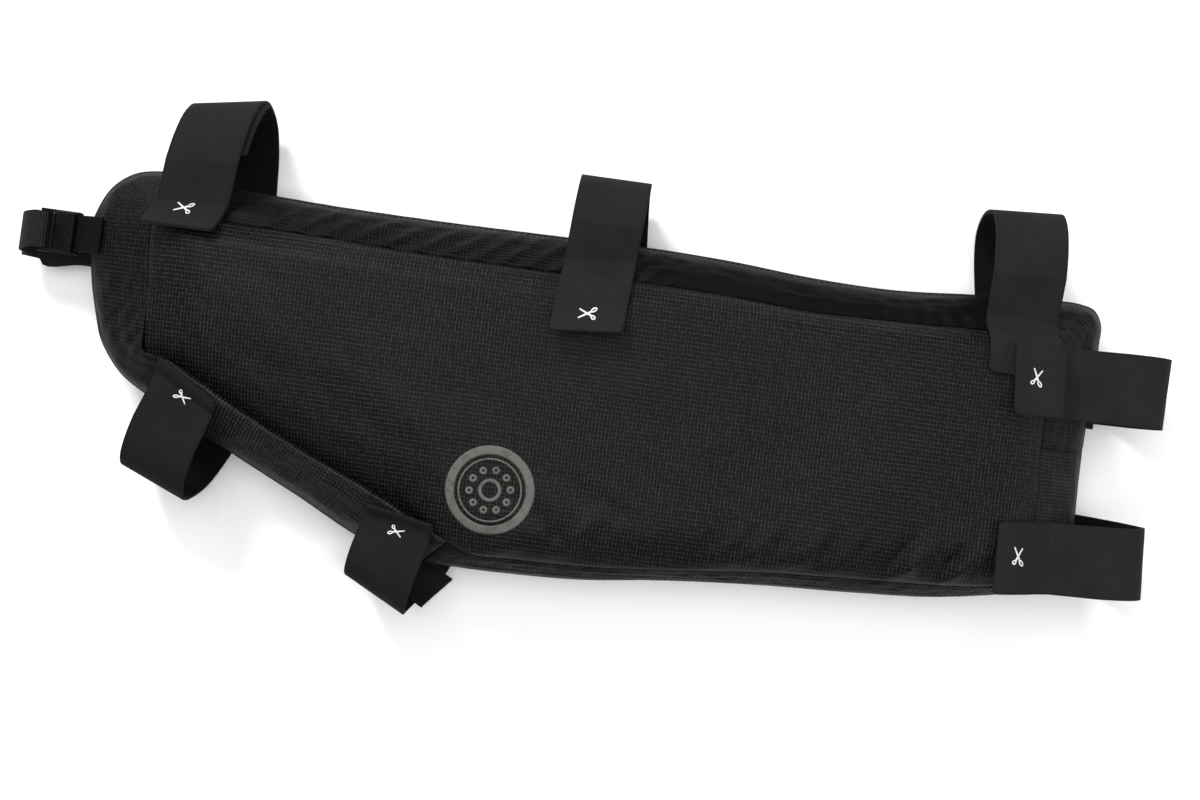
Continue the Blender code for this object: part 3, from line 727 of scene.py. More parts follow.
def start_material(name, roughness, sheen=0.0, specular=0.4):
    made = bpy.data.materials.new(name)
    made.use_nodes = True
    tree = made.node_tree
    shader = tree.nodes["Principled BSDF"]
    shader.inputs["Roughness"].default_value = roughness
    shader.inputs["Sheen Weight"].default_value = sheen
    shader.inputs["Sheen Roughness"].default_value = 0.45
    shader.inputs["Specular IOR Level"].default_value = specular
    return made, tree, shader


def paint(tree, shader, colour, height, strength, distance):
    """Gives a shader its colour and the relief of a height."""
    tree.links.new(colour, shader.inputs["Base Color"])
    made = node(tree, "ShaderNodeBump", Strength=strength, Distance=distance, Height=height)
    tree.links.new(made.outputs[0], shader.inputs["Normal"])


def thread_line(tree, place, pitch, width):
    """1 on evenly spaced thin lines, 0 between them."""
    from_line = sums(tree, "PINGPONG", sums(tree, "DIVIDE", place, pitch), 0.5)
    return fade(tree, from_line, width / 2, width, 1.0, 0.0)


def scaled(colour, factor, balance=(1.0, 1.0, 1.0)):
    """A colour made darker or paler by a factor, with a balance of its channels."""
    return tuple(channel * part * factor for channel, part in zip(colour, balance))


def cloth_place(tree):
    """The piece's own cloth coordinates, in metres."""
    return node(tree, "ShaderNodeUVMap", settings={"uv_map": "Cloth"}).outputs[0]


def object_place(tree):
    return node(tree, "ShaderNodeTexCoord").outputs["Object"]


def ripple(tree, place, pitch):
    """A sine that repeats at a pitch in metres."""
    return sums(tree, "SINE", times(tree, place, 2 * math.pi / pitch))


def ripstop_grid(tree, cloth, along, across, settings):
    """How much of the stronger threads shows: uneven lines both ways, with knots at crossings."""
    uneven_along, uneven_across = (
        fade(tree, noise_at(tree, cloth, 520.0, 1.0, squeeze), 0.34, 0.66, 0.28, 1.0)
        for squeeze in ((0.70, 1.0, 1.0), (1.0, 0.70, 1.0)))
    lean = fade(tree, noise_at(tree, cloth, 13.0), 0.36, 0.64)
    weight_along = times(tree, uneven_along, less(tree, 0.82, times(tree, lean, 0.36)))
    weight_across = times(tree, uneven_across, plus(tree, 0.46, times(tree, lean, 0.38)))
    threads_along = thread_line(tree, across, settings.ripstop_width, 0.15)
    threads_across = thread_line(tree, along, settings.ripstop_length, 0.17)
    dashes = less(tree, 1.0, times(tree, threads_across, 0.55))
    lines_along = times(tree, times(tree, threads_along, dashes), weight_along)
    lines_across = times(tree, threads_across, weight_across)
    knots = times(tree, times(tree, threads_along, threads_across), uneven_across)
    return sums(tree, "MAXIMUM", sums(tree, "MAXIMUM", lines_along, lines_across), knots)


def ripstop_material(settings, name="ripstop cloth", smooth=None, shade=1.0):
    """Black coated ripstop: a fine plain weave with a grid of stronger, paler threads.

    smooth is a stretch of the cloth's length, in metres, where the coating hides the grid.
    shade makes the cloth and its gloss darker or paler: painted shade and painted light for a side
    cloth that the lamps light less or more.
    """
    made, tree, shader = start_material(name, 0.48, specular=0.092 * shade)
    cloth = cloth_place(tree)
    parts = node(tree, "ShaderNodeSeparateXYZ", cloth)
    sway = times(tree, less(tree, noise_at(tree, cloth, 26.0), 0.5), THREAD_SWAY)
    along, across = plus(tree, parts.outputs[0], sway), plus(tree, parts.outputs[1], sway)
    shown = ripstop_grid(tree, cloth, along, across, settings)
    warm = fade(tree, noise_at(tree, cloth, 11.0), 0.40, 0.62)
    base, threads = (
        blend_colour(tree, warm, scaled(colour, shade, COLD_TONE), scaled(colour, shade, MILD_TONE))
        for colour in (settings.colour, settings.thread_colour))
    bare = scaled(settings.colour, 0.50)
    if smooth:
        coated = times(tree, fade(tree, along, smooth[0], smooth[0] + 0.016),
                       fade(tree, along, smooth[1] - 0.012, smooth[1], 1.0, 0.0))
        shown = times(tree, shown, less(tree, 1.0, times(tree, coated, 0.88)))
        base = blend_colour(tree, times(tree, coated, 0.85), base, bare)
    ridge = node(tree, "ShaderNodeAttribute",
                 settings={"attribute_name": "Ridge"}).outputs["Fac"]
    colour = blend_colour(tree, shown, base, threads)
    # Towards the ridge the cloth turns darker and matter.
    colour = blend_colour(tree, times(tree, ridge, 0.80), colour, bare)
    rough = fade(tree, noise_at(tree, cloth, 16.0, 3.0), 0.2, 0.8, 0.42, 0.54)
    matt = plus(tree, rough, times(tree, ridge, 0.40))
    tree.links.new(matt, shader.inputs["Roughness"])
    fine = times(tree, ripple(tree, along, FINE_WEAVE), ripple(tree, across, FINE_WEAVE))
    height = plus(tree, shown, times(tree, fine, 0.22))
    crumple = times(tree, noise_at(tree, cloth, 190.0, 3.0), 1.6)
    paint(tree, shader, colour, plus(tree, height, crumple), 0.5, 0.00016)
    return made


def band_material(settings, name="loop side of a band", shade=1.0):
    """Matte charcoal hook-and-loop band with a short brushed pile and a darker woven edge."""
    made, tree, shader = start_material(name, 0.90, sheen=0.01, specular=0.05)
    colour = scaled(settings.colour, shade)
    cloth = cloth_place(tree)
    pile = noise_at(tree, cloth, 1500.0, 3.0, (1.0, 0.6, 1.0))
    streak = noise_at(tree, cloth, 260.0, 2.0, (0.5, 1.8, 1.0))
    cloud = noise_at(tree, cloth, 45.0, 3.0)
    tone = plus(tree, times(tree, pile, 0.45),
                plus(tree, times(tree, streak, 0.15), times(tree, cloud, 0.40)))
    shown = blend_colour(
        tree, fade(tree, tone, 0.36, 0.64), scaled(colour, 0.86), scaled(colour, 1.14))
    from_middle = sums(
        tree, "ABSOLUTE", node(tree, "ShaderNodeSeparateXYZ", cloth).outputs[1])
    selvedge = fade(tree, from_middle, *BAND_SELVEDGE, 0.0, 0.30)
    shown = blend_colour(tree, selvedge, shown, scaled(colour, 0.70))
    paint(tree, shader, shown, plus(tree, pile, times(tree, streak, 0.4)), 0.4, 0.0003)
    return made


def webbing_material(settings, name="ribbed webbing", shade=1.0):
    """Black webbing with ribs across it."""
    made, tree, shader = start_material(name, 0.70, sheen=0.01 * shade, specular=0.10 * shade)
    cloth = cloth_place(tree)
    parts = node(tree, "ShaderNodeSeparateXYZ", cloth)
    rib, pick = ripple(tree, parts.outputs[0], 0.0013), ripple(tree, parts.outputs[1], 0.0008)
    weave = plus(tree, rib, times(tree, pick, 0.35))
    weave = plus(tree, weave, noise_at(tree, cloth, 900.0))
    colour = blend_colour(
        tree, fade(tree, weave, -0.8, 1.8), scaled(settings.webbing_colour, 0.55 * shade),
        scaled(settings.webbing_colour, 1.75 * shade))
    paint(tree, shader, colour, weave, 0.8, 0.00025)
    return made


def plastic_material():
    """Moulded black plastic with a faint sparked grain."""
    made, tree, shader = start_material("moulded plastic", 0.50, specular=0.06)
    place = object_place(tree)
    scuff = noise_at(tree, place, 160.0, 3.0)
    colour = blend_colour(tree, fade(tree, scuff, 0.45, 0.7), (0.0030, 0.0028, 0.0029),
                          (0.0055, 0.0052, 0.0052))
    tree.links.new(fade(tree, scuff, 0.3, 0.7, 0.40, 0.56), shader.inputs["Roughness"])
    paint(tree, shader, colour, noise_at(tree, place, 1800.0), 0.35, 0.0001)
    return made


def thread_material(settings):
    """Twisted sewing thread."""
    made, tree, shader = start_material("sewing thread", 0.7, sheen=0.02, specular=0.10)
    twist = noise_at(tree, object_place(tree), 1600.0)
    colour = blend_colour(tree, fade(tree, twist, 0.35, 0.65),
                          scaled(settings.thread_colour, 0.6), scaled(settings.thread_colour, 1.4))
    paint(tree, shader, colour, twist, 0.5, 0.0001)
    return made


def print_material(name, colour, wear):
    """A print on cloth, thin enough that the weave shows through."""
    made, tree, shader = start_material(name, 0.7, specular=0.15)
    place = object_place(tree)
    weave = noise_at(tree, place, 900.0, 3.0)
    tone_shift = fade(tree, noise_at(tree, place, 260.0, 4.0), 0.30, 0.62)
    tone = plus(tree, times(tree, tone_shift, 0.6), times(tree, weave, 0.8))
    colour = blend_colour(tree, fade(tree, tone, 0.2, 0.8), scaled(colour, wear), tuple(colour))
    paint(tree, shader, colour, weave, 0.4, 0.00012)
    return made


MATERIALS = {}


def material(name):
    """The bag's finishes, each made once."""
    scene = bpy.context.scene
    cloth, bands, trim = scene.bag_cloth, scene.bag_bands, scene.bag_trim
    makers = {
        "ripstop": lambda: ripstop_material(cloth),
        # The top side cloth's 0.60 is painted shade, like the side cloth numbers below.
        "top cloth": lambda: ripstop_material(cloth, "coated flap cloth", SMOOTH_FLAP, 0.60),
        "band": lambda: band_material(bands),
        # A darker copy of the band: painted shade, for the lower bands and the hook patches.
        "worn band": lambda: band_material(bands, "worn band", 0.74),
        "hooks": lambda: band_material(bands, "hook side of a band", 0.42),
        "webbing": lambda: webbing_material(bands, shade=1.35),
        "tab webbing": lambda: webbing_material(bands, "tab webbing", 0.45),
        "plastic": plastic_material,
        "thread": lambda: thread_material(trim),
        "mark": lambda: print_material("pale mark", (0.66, 0.66, 0.64), 0.80),
        "round": lambda: print_material("soft grey print", tuple(trim.print_colour), 0.65),
    }
    if name not in MATERIALS:
        # The side cloths are darker or paler copies of one ripstop: painted shade and painted light.
        if name in PAINTED_CLOTH_SHADES:
            MATERIALS[name] = ripstop_material(cloth, name, shade=PAINTED_CLOTH_SHADES[name])
        else:
            MATERIALS[name] = makers[name]()
    return MATERIALS[name]


COURSE = ring_course()
SHIFT = panel_shift(COURSE)


def fold_rise(place):
    """How far the front cloth's folds lift a point, in metres."""
    rise = 0.0
    for along, up, slant, run, breadth, height in FRONT_FOLDS:
        away = place - on_ridge(along, up) - SHIFT
        angle = math.radians(slant)
        ahead = (away.x * math.cos(angle) + away.y * math.sin(angle)) * 1000 / run
        aside = (away.y * math.cos(angle) - away.x * math.sin(angle)) * 1000 / breadth
        share = ahead * ahead + aside * aside
        if share < FOLD_REACH ** 2:
            rise += height / 1000 * math.exp(-share)
    return rise


def crease_at(x, y, scale, seed):
    return noise.noise(Vector((x * scale, y * scale, seed)))


class FRAMEBAG_OT_front_cloth(bpy.types.Operator):
    """Lay the crowned front cloth between the seams"""
    bl_idname = "framebag.front_cloth"
    bl_label = "Front Cloth"

    def execute(self, context):
        cloth = context.scene.bag_cloth
        columns, rows = FRONT_GRID
        patch, across, upward = panel_patch(
            COURSE, columns, rows, FRONT_CROWDING, FRONT_CLOTH_INSET)
        corner = on_ridge(*STATIONS[LOWER_CORNER][1:3]) + SHIFT

        def place(column, row):
            flat = patch[row][column]
            along, up = across[column], upward[row]
            height = (patch[-1][column] - patch[0][column]).length
            length = (patch[row][-1] - patch[row][0]).length
            lower = 1 - ease(flat.x - corner.x + CORNER_START, CORNER_RUN)
            ways = {
                "top": (1 - up) * height, "nose": along * length, "rear": (1 - along) * length,
                "bottom": up * height, "lower": up * height + CORNER_AWAY * (1 - lower),
            }
            low_roll = cloth.end_roll * 0.6 + (cloth.lower_roll - cloth.end_roll * 0.6) * lower
            fullness = (
                ease(ways["top"], cloth.top_roll) * ease(up * height, low_roll)
                * ease(ways["nose"], cloth.end_roll) * ease(ways["rear"], cloth.end_roll)
            )
            away = ease(min(ways.values()), EDGE_FADE)
            crease = (
                crease_at(flat.x, flat.y * 1.4, 38.0, 1.7)
                + 0.5 * crease_at(flat.x * 1.2 + flat.y * 0.8, flat.y, 95.0, 4.1)
            ) * cloth.crease
            turns = {side: SEAM_TURNS[side][2] / 1000
                     * math.exp(-(way * 1000 / SEAM_TURNS[side][3]) ** 2)
                     for side, way in ways.items()}
            z = (FRONT_SEAM_HEIGHT + cloth.crown * fullness
                 + away * (fold_rise(flat) + crease) - max(turns.values()))
            return Vector((flat.x, flat.y, z)), (flat.x, flat.y)

        item = mapped_grid("front_cloth", columns, rows, place)
        thicken(item, cloth.thickness, -1.0)
        dress(item, material("ripstop"), "ripstop", "front_panel")
        return {"FINISHED"}


class FRAMEBAG_OT_back_cloth(bpy.types.Operator):
    """Lay the flat back cloth that the bag rests on"""
    bl_idname = "framebag.back_cloth"
    bl_label = "Back Cloth"

    def execute(self, context):
        columns, rows = BACK_GRID
        patch, _, _ = panel_patch(COURSE, columns, rows, BACK_CROWDING, CLOTH_INSET)

        def place(column, row):
            flat = patch[row][column]
            return Vector((flat.x, flat.y, BACK_CLOTH_HEIGHT)), (flat.x, flat.y)

        item = mapped_grid("back_cloth", columns, rows, place)
        thicken(item, BACK_CLOTH_HEIGHT, -1.0)
        dress(item, material("ripstop"), "ripstop", "back_panel")
        return {"FINISHED"}


def mark_ridge(item, columns, section):
    """Keeps how near each point lies to the ridge, for the cloth's material, which turns darker and
    matter there.
    """
    near = item.data.attributes.new("Ridge", "FLOAT", "POINT")
    for index, spot in enumerate(near.data):
        out = section[index // (columns + 1)].x
        spot.value = min(max((out - RIDGE_DARK_START) / RIDGE_DARK_FADE, 0.0), 1.0)


def pucker(name, share, distance, run, seam_way):
    """How far a side cloth stands out at a point, in metres."""
    rise = 0.0
    for piece, start, stop, pitch, height, lean in SIDE_PUCKERS:
        if piece != name or not start - PUCKER_FADE < share < stop + PUCKER_FADE:
            continue
        ends = (ease(share - start + PUCKER_FADE, 2 * PUCKER_FADE)
                * ease(stop + PUCKER_FADE - share, 2 * PUCKER_FADE))
        sway = 0.35 * noise.noise(Vector((distance * 22.0, 0.7, 3.3)))
        phase = (distance - lean * seam_way) * 1000 / pitch + sway
        wave = (0.5 + 0.5 * math.cos(2 * math.pi * phase)) ** 1.6 - 0.42
        fall = math.exp(-(seam_way / (0.62 * run)) ** 2) * ease(seam_way, 0.005)
        strength = 0.75 + 0.6 * noise.noise(Vector((distance * 40.0, 5.1, 0.0)))
        rise += ends * fall * wave * strength * height / 1000
    return rise


def ridge_and_seam(point):
    """The plan points on the ridge and on the front seam that a point of the course holds."""
    return Vector(point[:2]) + SHIFT, Vector(point[2:]) + SHIFT


class FRAMEBAG_OT_side_cloths(bpy.types.Operator):
    """Fold the five side cloths out to their ridge"""
    bl_idname = "framebag.side_cloths"
    bl_label = "Side Cloths"

    def execute(self, context):
        cloth = context.scene.bag_cloth
        section = smooth_course([Vector(point) for point in SIDE_SECTION], SECTION_STEPS)
        rows = len(section) - 1
        cross_seam = on_ridge(0.0, CROSS_SEAM_UP).y + SHIFT.y
        for name, solid, first, last in SIDES:
            side = name.split("_")[0]
            _, length = stretch(COURSE, first, last, (0.0, 1.0))
            columns = max(24, round(length / SIDE_CLOTH_STEP))
            depth, breadth = (size / 1000 for size in SEAM_TURNS[side][:2])
            bulge = SIDE_BULGES[side] / 1000
            arc = places_along([Vector((out * STRIP_WIDTHS[side], rise * SEAM_THICKNESS))
                                for out, rise in section])
            trim = PIECE_GAP / length
            shares = [trim + (1 - 2 * trim) * i / columns for i in range(columns + 1)]
            points, _ = stretch(COURSE, first, last, shares)

            def place(column, row):
                ridge, seam = ridge_and_seam(points[column])
                out, rise = section[row]
                way, run = (ridge - seam).normalized(), (ridge - seam).length
                distance, seam_way = shares[column] * length, out * run
                flat = seam.lerp(ridge, out)
                front = rise > 0.5
                lift = pucker(name, shares[column], distance, run, seam_way)
                if not front:
                    lift *= 0.5
                rough = cloth.crease * (
                    crease_at(distance, seam_way + rise, 60.0, 8.8)
                    + 0.6 * crease_at(distance, seam_way - rise, 150.0, 2.4))
                lift += rough * ease(seam_way, 0.004) * ease(run - seam_way, 0.006)
                inside = ease(distance, JOINT_RUN) * ease(length - distance, JOINT_RUN)
                level = JOINT_TURN / 1000 * (1 - inside) + depth * inside
                turn = level * math.exp(-(seam_way / breadth) ** 2)
                lift += inside * bulge * math.sin(math.pi * min(out / 0.9, 1.0))
                if side == "rear":
                    away = (flat.y - cross_seam) / CROSS_SEAM_BREADTH
                    turn += CROSS_SEAM_DEPTH * math.exp(-away ** 2)
                z = BACK_SEAM_HEIGHT + rise * SEAM_THICKNESS
                z += (lift - turn) if front else (-lift * 0.4 + turn * 0.3)
                flat = flat + way * (0.35 * lift)
                plan = seam + way * arc[row] if side == "nose" else (distance, arc[row])
                return Vector((flat.x, flat.y, max(z, BACK_SEAM_HEIGHT))), tuple(plan)

            item = mapped_grid(name, columns, rows, place)
            mark_ridge(item, columns, section)
            thicken(item, cloth.thickness, -1.0)
            dress(item, material(side + " cloth"), "ripstop", solid)
        return {"FINISHED"}


def band_course(row, trees, settings):
    """A band's course as (left, right, height, distance) from its sewn tab to its free end."""
    _, _, along, up, facing, reach, lap, drift_far, drift_end, twist_far, twist_end = row
    reach *= STRAP_REACH
    lap *= STRAP_LAP
    foot = on_ridge(along, up) + SHIFT
    angle = math.radians(facing)
    outward = Vector((math.cos(angle), math.sin(angle)))
    sideways = Vector((outward.y, -outward.x))
    half = settings.thickness / 2

    def line_at(out, past_fold):
        if past_fold:
            share = (reach - out) / (reach + lap)
            drift = drift_far + (drift_end - drift_far) * share
            turn = math.radians(twist_far + (twist_end - twist_far) * share)
        else:
            share = max(out, 0.0) / reach
            drift = drift_far * share
            turn = math.radians(twist_far * share)
        middle = foot + outward * out + sideways * drift * STRAP_WIDTH
        across = Vector((
            sideways.x * math.cos(turn) - sideways.y * math.sin(turn),
            sideways.x * math.sin(turn) + sideways.y * math.cos(turn),
        )) * STRAP_WIDTH / 2
        return middle - across, middle + across

    def samples(out, past_fold):
        left, right = line_at(out, past_fold)
        return [left.lerp(right, index / BAND_SAMPLES) for index in range(BAND_SAMPLES + 1)]

    loop = []
    for share in (0.0, 0.5, 1.0):
        out = -STRAP_TAB_START - STRAP_TAB_LENGTH * share
        found = [underside_of(trees, p.x, p.y) for p in samples(out, False)]
        under = min(height for height in found if height is not None)
        loop.append(Vector((out, under - half / STRAP_TAB_STEEPNESS - settings.clearance)))
    for out, rise in BAND_LOOP:
        loop.append(Vector((out * reach, STRAP_REST_HEIGHT + rise * STRAP_LOOP_HEIGHT)))
    loop = smooth_course(loop, BAND_LOOP_STEPS)
    fold = max(range(len(loop)), key=lambda index: loop[index].x)
    sheet = [(*point, index > fold) for index, point in enumerate(loop)]
    last_out, last_height = loop[-1]
    steps = max(3, round((last_out + lap) / BAND_LAP_STEP))
    for step in range(1, steps + 1):
        out = last_out - (last_out + lap) * step / steps
        found = [
            top_of(trees, p.x, p.y)
            for shift in (-BAND_LAP_STEP, 0.0, BAND_LAP_STEP)
            for p in samples(out + shift, True)
        ]
        floor = max([height for height in found if height is not None] or [0.0])
        sag = last_height - (last_out - out) * STRAP_LAP_FALL
        sheet.append((out, max(sag, floor + half + settings.clearance), True))
    course, distance, before = [], 0.0, None
    for out, height, past_fold in sheet:
        left, right = line_at(out, past_fold)
        middle = Vector((*((left + right) / 2), height))
        distance += (middle - before).length if before else 0.0
        before = middle
        course.append((left, right, height, distance))
    lift = BAND_END_LIFTS.get(row[0], 0.0)
    total = course[-1][3]
    return [
        (left, right,
         height + lift * max(1 - (total - distance) / BAND_END_RUN, 0.0) ** 1.6, distance)
        for left, right, height, distance in course
    ]


def build_hook_patch(name, course, first, last, inside, slide):
    """The hook patch that lies on the inner face of a band's loop."""
    total = course[-1][3]
    picked = [step for step in course if first * total <= step[3] <= last * total]
    middles = [Vector((*((left + right) / 2), height)) for left, right, height, _ in picked]
    columns, rows = len(picked) - 1, HOOK_PATCH_ROWS

    def place(column, row):
        left, right, _, distance = picked[column]
        ahead = middles[min(column + 1, columns)] - middles[max(column - 1, 0)]
        across = Vector((*(right - left), 0.0)).normalized()
        inward = across.cross(ahead.normalized())
        side = (row / rows - 0.5) * (right - left).length * HOOK_PATCH_SHARE
        return middles[column] + across * (side + slide) + inward * inside, (distance, side)

    item = mapped_grid(name, columns, rows, place)
    thicken(item, HOOK_PATCH_THICKNESS, 0.0, 0.0003)
    return item, picked[-1][3] - picked[0][3]


def build_band(row, course, settings):
    columns, rows = len(course) - 1, BAND_ROWS
    total = course[-1][3]
    seed = row[2] * 31.0

    def place(column, row_index):
        left, right, height, distance = course[column]
        middle, half = (left + right) / 2, (right - left) / 2
        to_end = total - distance
        corner = settings.corner
        pull = 0.0
        if to_end < corner:
            pull = corner - math.sqrt(max(corner * corner - (corner - to_end) ** 2, 0.0))
        side = row_index / rows * 2 - 1
        spot = middle + half * side * (1 - pull / half.length)
        wave = 0.0005 * noise.noise(Vector((distance * 55.0, side * 0.8, seed)))
        return (Vector((*spot, height + wave)),
                (distance, side * (half.length - pull)))

    item = mapped_grid(row[0], columns, rows, place)
    thicken(item, settings.thickness, 0.0, 0.0005)
    return item, total


class FRAMEBAG_OT_bands(bpy.types.Operator):
    """Loop the seven hook-and-loop bands"""
    bl_idname = "framebag.bands"
    bl_label = "Bands"

    def execute(self, context):
        settings = context.scene.bag_bands
        names = ["front_cloth"] + [side[0] for side in SIDES]
        trees = trees_of(*names)
        for row in BANDS:
            course = band_course(row, trees, settings)
            item, total = build_band(row, course, settings)
            # The lower bands take the darker copy of the band material, which is painted shade.
            tone_shift = row[0].startswith("band_lower")
            dress(item, material("worn band" if tone_shift else "band"), "band", row[1])
            item.data.materials.append(material("hooks"))
            item.modifiers["Cloth"].material_offset = 1
            trees.append(tree_of(item))
            for band, *place in HOOK_PATCHES:
                if band == row[0]:
                    patch, length = build_hook_patch(
                        band.replace("band", "hook_patch"), course, *place)
                    # The hook patch takes the same darker copy, painted shade.
                    dress(patch, material("worn band"), "band")
        return {"FINISHED"}


def flat_ring(made, middle, radii, stroke, segments, loops=1, turn=0.0):
    """A flat ring of even stroke in the XY plane, round or oval by its two outer radii."""
    start = len(made.verts)
    circle = bmesh.ops.create_circle(made, cap_ends=False, segments=segments, radius=1.0)
    edges = [edge for edge in made.edges if edge.verts[0] in set(circle["verts"])]
    around = {vertex: (vertex.co.copy(), 0.0) for vertex in circle["verts"]}
    for step in range(loops):
        grown = bmesh.ops.extrude_edge_only(made, edges=edges)["geom"]
        fresh = [item for item in grown if isinstance(item, bmesh.types.BMVert)]
        edges = [item for item in grown if isinstance(item, bmesh.types.BMEdge)
                 and all(vertex in fresh for vertex in item.verts)]
        for vertex in fresh:
            around[vertex] = (vertex.co.copy(), stroke * (step + 1) / loops)
    for vertex, (way, inward) in around.items():
        vertex.co = (way.x * (radii[0] - inward), way.y * (radii[1] - inward), 0.0)
    made.verts.ensure_lookup_table()
    matrix = Matrix.Translation((*middle, 0.0)) @ Matrix.Rotation(turn, 4, "Z")
    bmesh.ops.transform(made, matrix=matrix, verts=made.verts[start:])


def flat_bar(made, start, stop, width, pieces, taper):
    """A flat bar in the XY plane from one point to another, with a taper."""
    begun = len(made.verts)
    bmesh.ops.create_grid(made, x_segments=pieces, y_segments=1, size=0.5)
    made.verts.ensure_lookup_table()
    start, stop = Vector(start), Vector(stop)
    way = stop - start
    side = Vector((-way.y, way.x)).normalized()
    for vertex in made.verts[begun:]:
        share, aside = vertex.co.x + 0.5, vertex.co.y
        breadth = width * (1 + (taper - 1) * share)
        spot = start + way * share + side * aside * breadth
        vertex.co = (spot.x, spot.y, 0.0)


def drape(made, trees, lift, fallback):
    """Lays flat verts on the pieces under them."""
    for vertex in made.verts:
        height = top_of(trees, vertex.co.x, vertex.co.y)
        vertex.co.z = (height if height is not None else fallback) + lift
    bmesh.ops.recalc_face_normals(made, faces=made.faces)
    up = sum(face.normal.z for face in made.faces)
    if up < 0:
        bmesh.ops.reverse_faces(made, faces=made.faces)
    shade_smooth(made)


class FRAMEBAG_OT_scissors_marks(bpy.types.Operator):
    """Print the small scissors marks on the bands"""
    bl_idname = "framebag.scissors_marks"
    bl_label = "Scissors Marks"

    def execute(self, context):
        settings = context.scene.bag_bands
        for band, x, y, heading, share in SCISSORS:
            size = settings.mark_length * share
            line = SCISSORS_LINE * size
            made = bmesh.new()
            for back_x, back_y, tip_x, tip_y in SCISSORS_BLADES:
                flat_bar(made, (back_x * size, back_y * size), (tip_x * size, tip_y * size),
                         line * BLADE_BREADTH, 8, BLADE_TAPER)
            for middle_x, middle_y, long, short, direction in SCISSORS_RINGS:
                flat_ring(made, (middle_x * size, middle_y * size), (long * size, short * size),
                          line, 20, 1, math.radians(direction))
            turn = Matrix.Translation((x, y, 0.0)) @ Matrix.Rotation(math.radians(heading), 4, "Z")
            bmesh.ops.transform(made, matrix=turn, verts=made.verts)
            drape(made, trees_of(band), MARK_LIFT, FRONT_SEAM_HEIGHT)
            item = finish_mesh(made, band.replace("band", "scissors_mark"))
            thicken(item, PRINT_THICKNESS, -1.0)
            dress(item, material("mark"), "band")
        return {"FINISHED"}


class FRAMEBAG_OT_round_print(bpy.types.Operator):
    """Print the plain round badge on the front cloth"""
    bl_idname = "framebag.round_print"
    bl_label = "Round Print"

    def execute(self, context):
        radius = context.scene.bag_trim.print_diameter / 2
        made = bmesh.new()
        for share, stroke, segments, loops in ROUND_PRINT_RINGS:
            flat_ring(made, (0.0, 0.0), (radius * share,) * 2, radius * stroke, segments, loops)
        count, away, share, stroke, segments = ROUND_PRINT_SPOTS
        for index in range(count):
            turn = math.radians(360.0 / count * index)
            place = (math.cos(turn) * radius * away, math.sin(turn) * radius * away)
            flat_ring(made, place, (radius * share,) * 2, radius * stroke, segments)
        turn = (Matrix.Translation((*ROUND_PRINT_PLACE, 0.0))
                @ Matrix.Rotation(math.radians(CAMERA_ROLL), 4, "Z"))
        bmesh.ops.transform(made, matrix=turn, verts=made.verts)
        drape(made, trees_of("front_cloth"), ROUND_PRINT_LIFT, FRONT_SEAM_HEIGHT)
        item = finish_mesh(made, "round_print")
        thicken(item, PRINT_THICKNESS, -1.0)
        dress(item, material("round"), "ripstop")
        return {"FINISHED"}


def row_points(points, pitch):
    """Evenly spaced points and directions along a polyline."""
    places = places_along(points)
    index, found = 0, []
    for step in range(int(places[-1] / pitch)):
        wanted = (step + 0.5) * pitch
        while places[index + 1] < wanted:
            index += 1
        way = (points[index + 1] - points[index]).normalized()
        found.append((part_way(points, places, index, wanted), way))
    return found


def stitch_row(made, points, trees, settings):
    """A row of stitches, partly sunk in the pieces under a line of plan points."""
    thread = settings.thread
    for place, way in row_points(points, settings.stitch_pitch):
        hits = [tree.ray_cast(Vector((*place, 1.0)), Vector((0.0, 0.0, -1.0))) for tree in trees]
        hits = [hit[:2] for hit in hits if hit[0] is not None]
        if not hits:
            continue
        spot, normal = max(hits, key=lambda hit: hit[0].z)
        ahead = Vector((way.x, way.y, 0.0))
        ahead = (ahead - normal * ahead.dot(normal)).normalized()
        side = normal.cross(ahead)
        turn = Matrix((ahead, side, normal)).transposed().to_4x4()
        wobble = 0.12 * noise.noise(Vector((place.x * 300.0, place.y * 300.0, 2.0)))
        scale = Matrix.Diagonal((settings.stitch_length / 2 * (1 + wobble), thread / 2,
                                 thread / 2, 1.0))
        matrix = Matrix.Translation(spot + normal * thread * (0.5 - STITCH_SINK)) @ turn @ scale
        bmesh.ops.create_uvsphere(made, u_segments=7, v_segments=5, radius=1.0, matrix=matrix)


def seam_line(first, last, offset, from_ridge=False):
    """Plan points beside the front seam, or beside the ridge, at a distance towards the panel."""
    shares = [index / SEAM_LINE_STEPS for index in range(SEAM_LINE_STEPS + 1)]
    line = []
    for point in stretch(COURSE, first, last, shares)[0]:
        ridge, seam = ridge_and_seam(point)
        inward = (seam - ridge).normalized()
        line.append((ridge if from_ridge else seam) + inward * offset)
    return line


class FRAMEBAG_OT_stitching(bpy.types.Operator):
    """Sew the topstitching along the seams"""
    bl_idname = "framebag.stitching"
    bl_label = "Stitching"

    def execute(self, context):
        front = CLOTH_INSET + FRONT_STITCH_INSET
        groups = (
            ("front_seam_stitches", "front_cloth", (
                seam_line(NOSE_HEAD, REAR_HEAD, front), seam_line(REAR_HEAD, REAR_FOOT, front),
                seam_line(NOSE_FOOT, NOSE_HEAD, front))),
            ("top_edge_stitches", "top_side_cloth", (
                seam_line(*SIDES[1][2:], RIDGE_STITCH_INSET, from_ridge=True),)),
            ("bottom_edge_stitches", "bottom_side_cloth", [
                seam_line(*SIDES[3][2:], offset) for offset in BOTTOM_STITCH_OFFSETS]),
        )
        for name, cloth, lines in groups:
            trees = trees_of(cloth)
            made = bmesh.new()
            for line in lines:
                stitch_row(made, line, trees, context.scene.bag_trim)
            dress(finish_mesh(made, name), material("thread"), "ripstop")
        made = bmesh.new()
        soft_block(made, REAR_TAB_PLACE, REAR_TAB_SIZE, REAR_TAB_ROUNDING)
        shade_smooth(made)
        dress(finish_mesh(made, "rear_edge_tab"), material("thread"), "band")
        return {"FINISHED"}


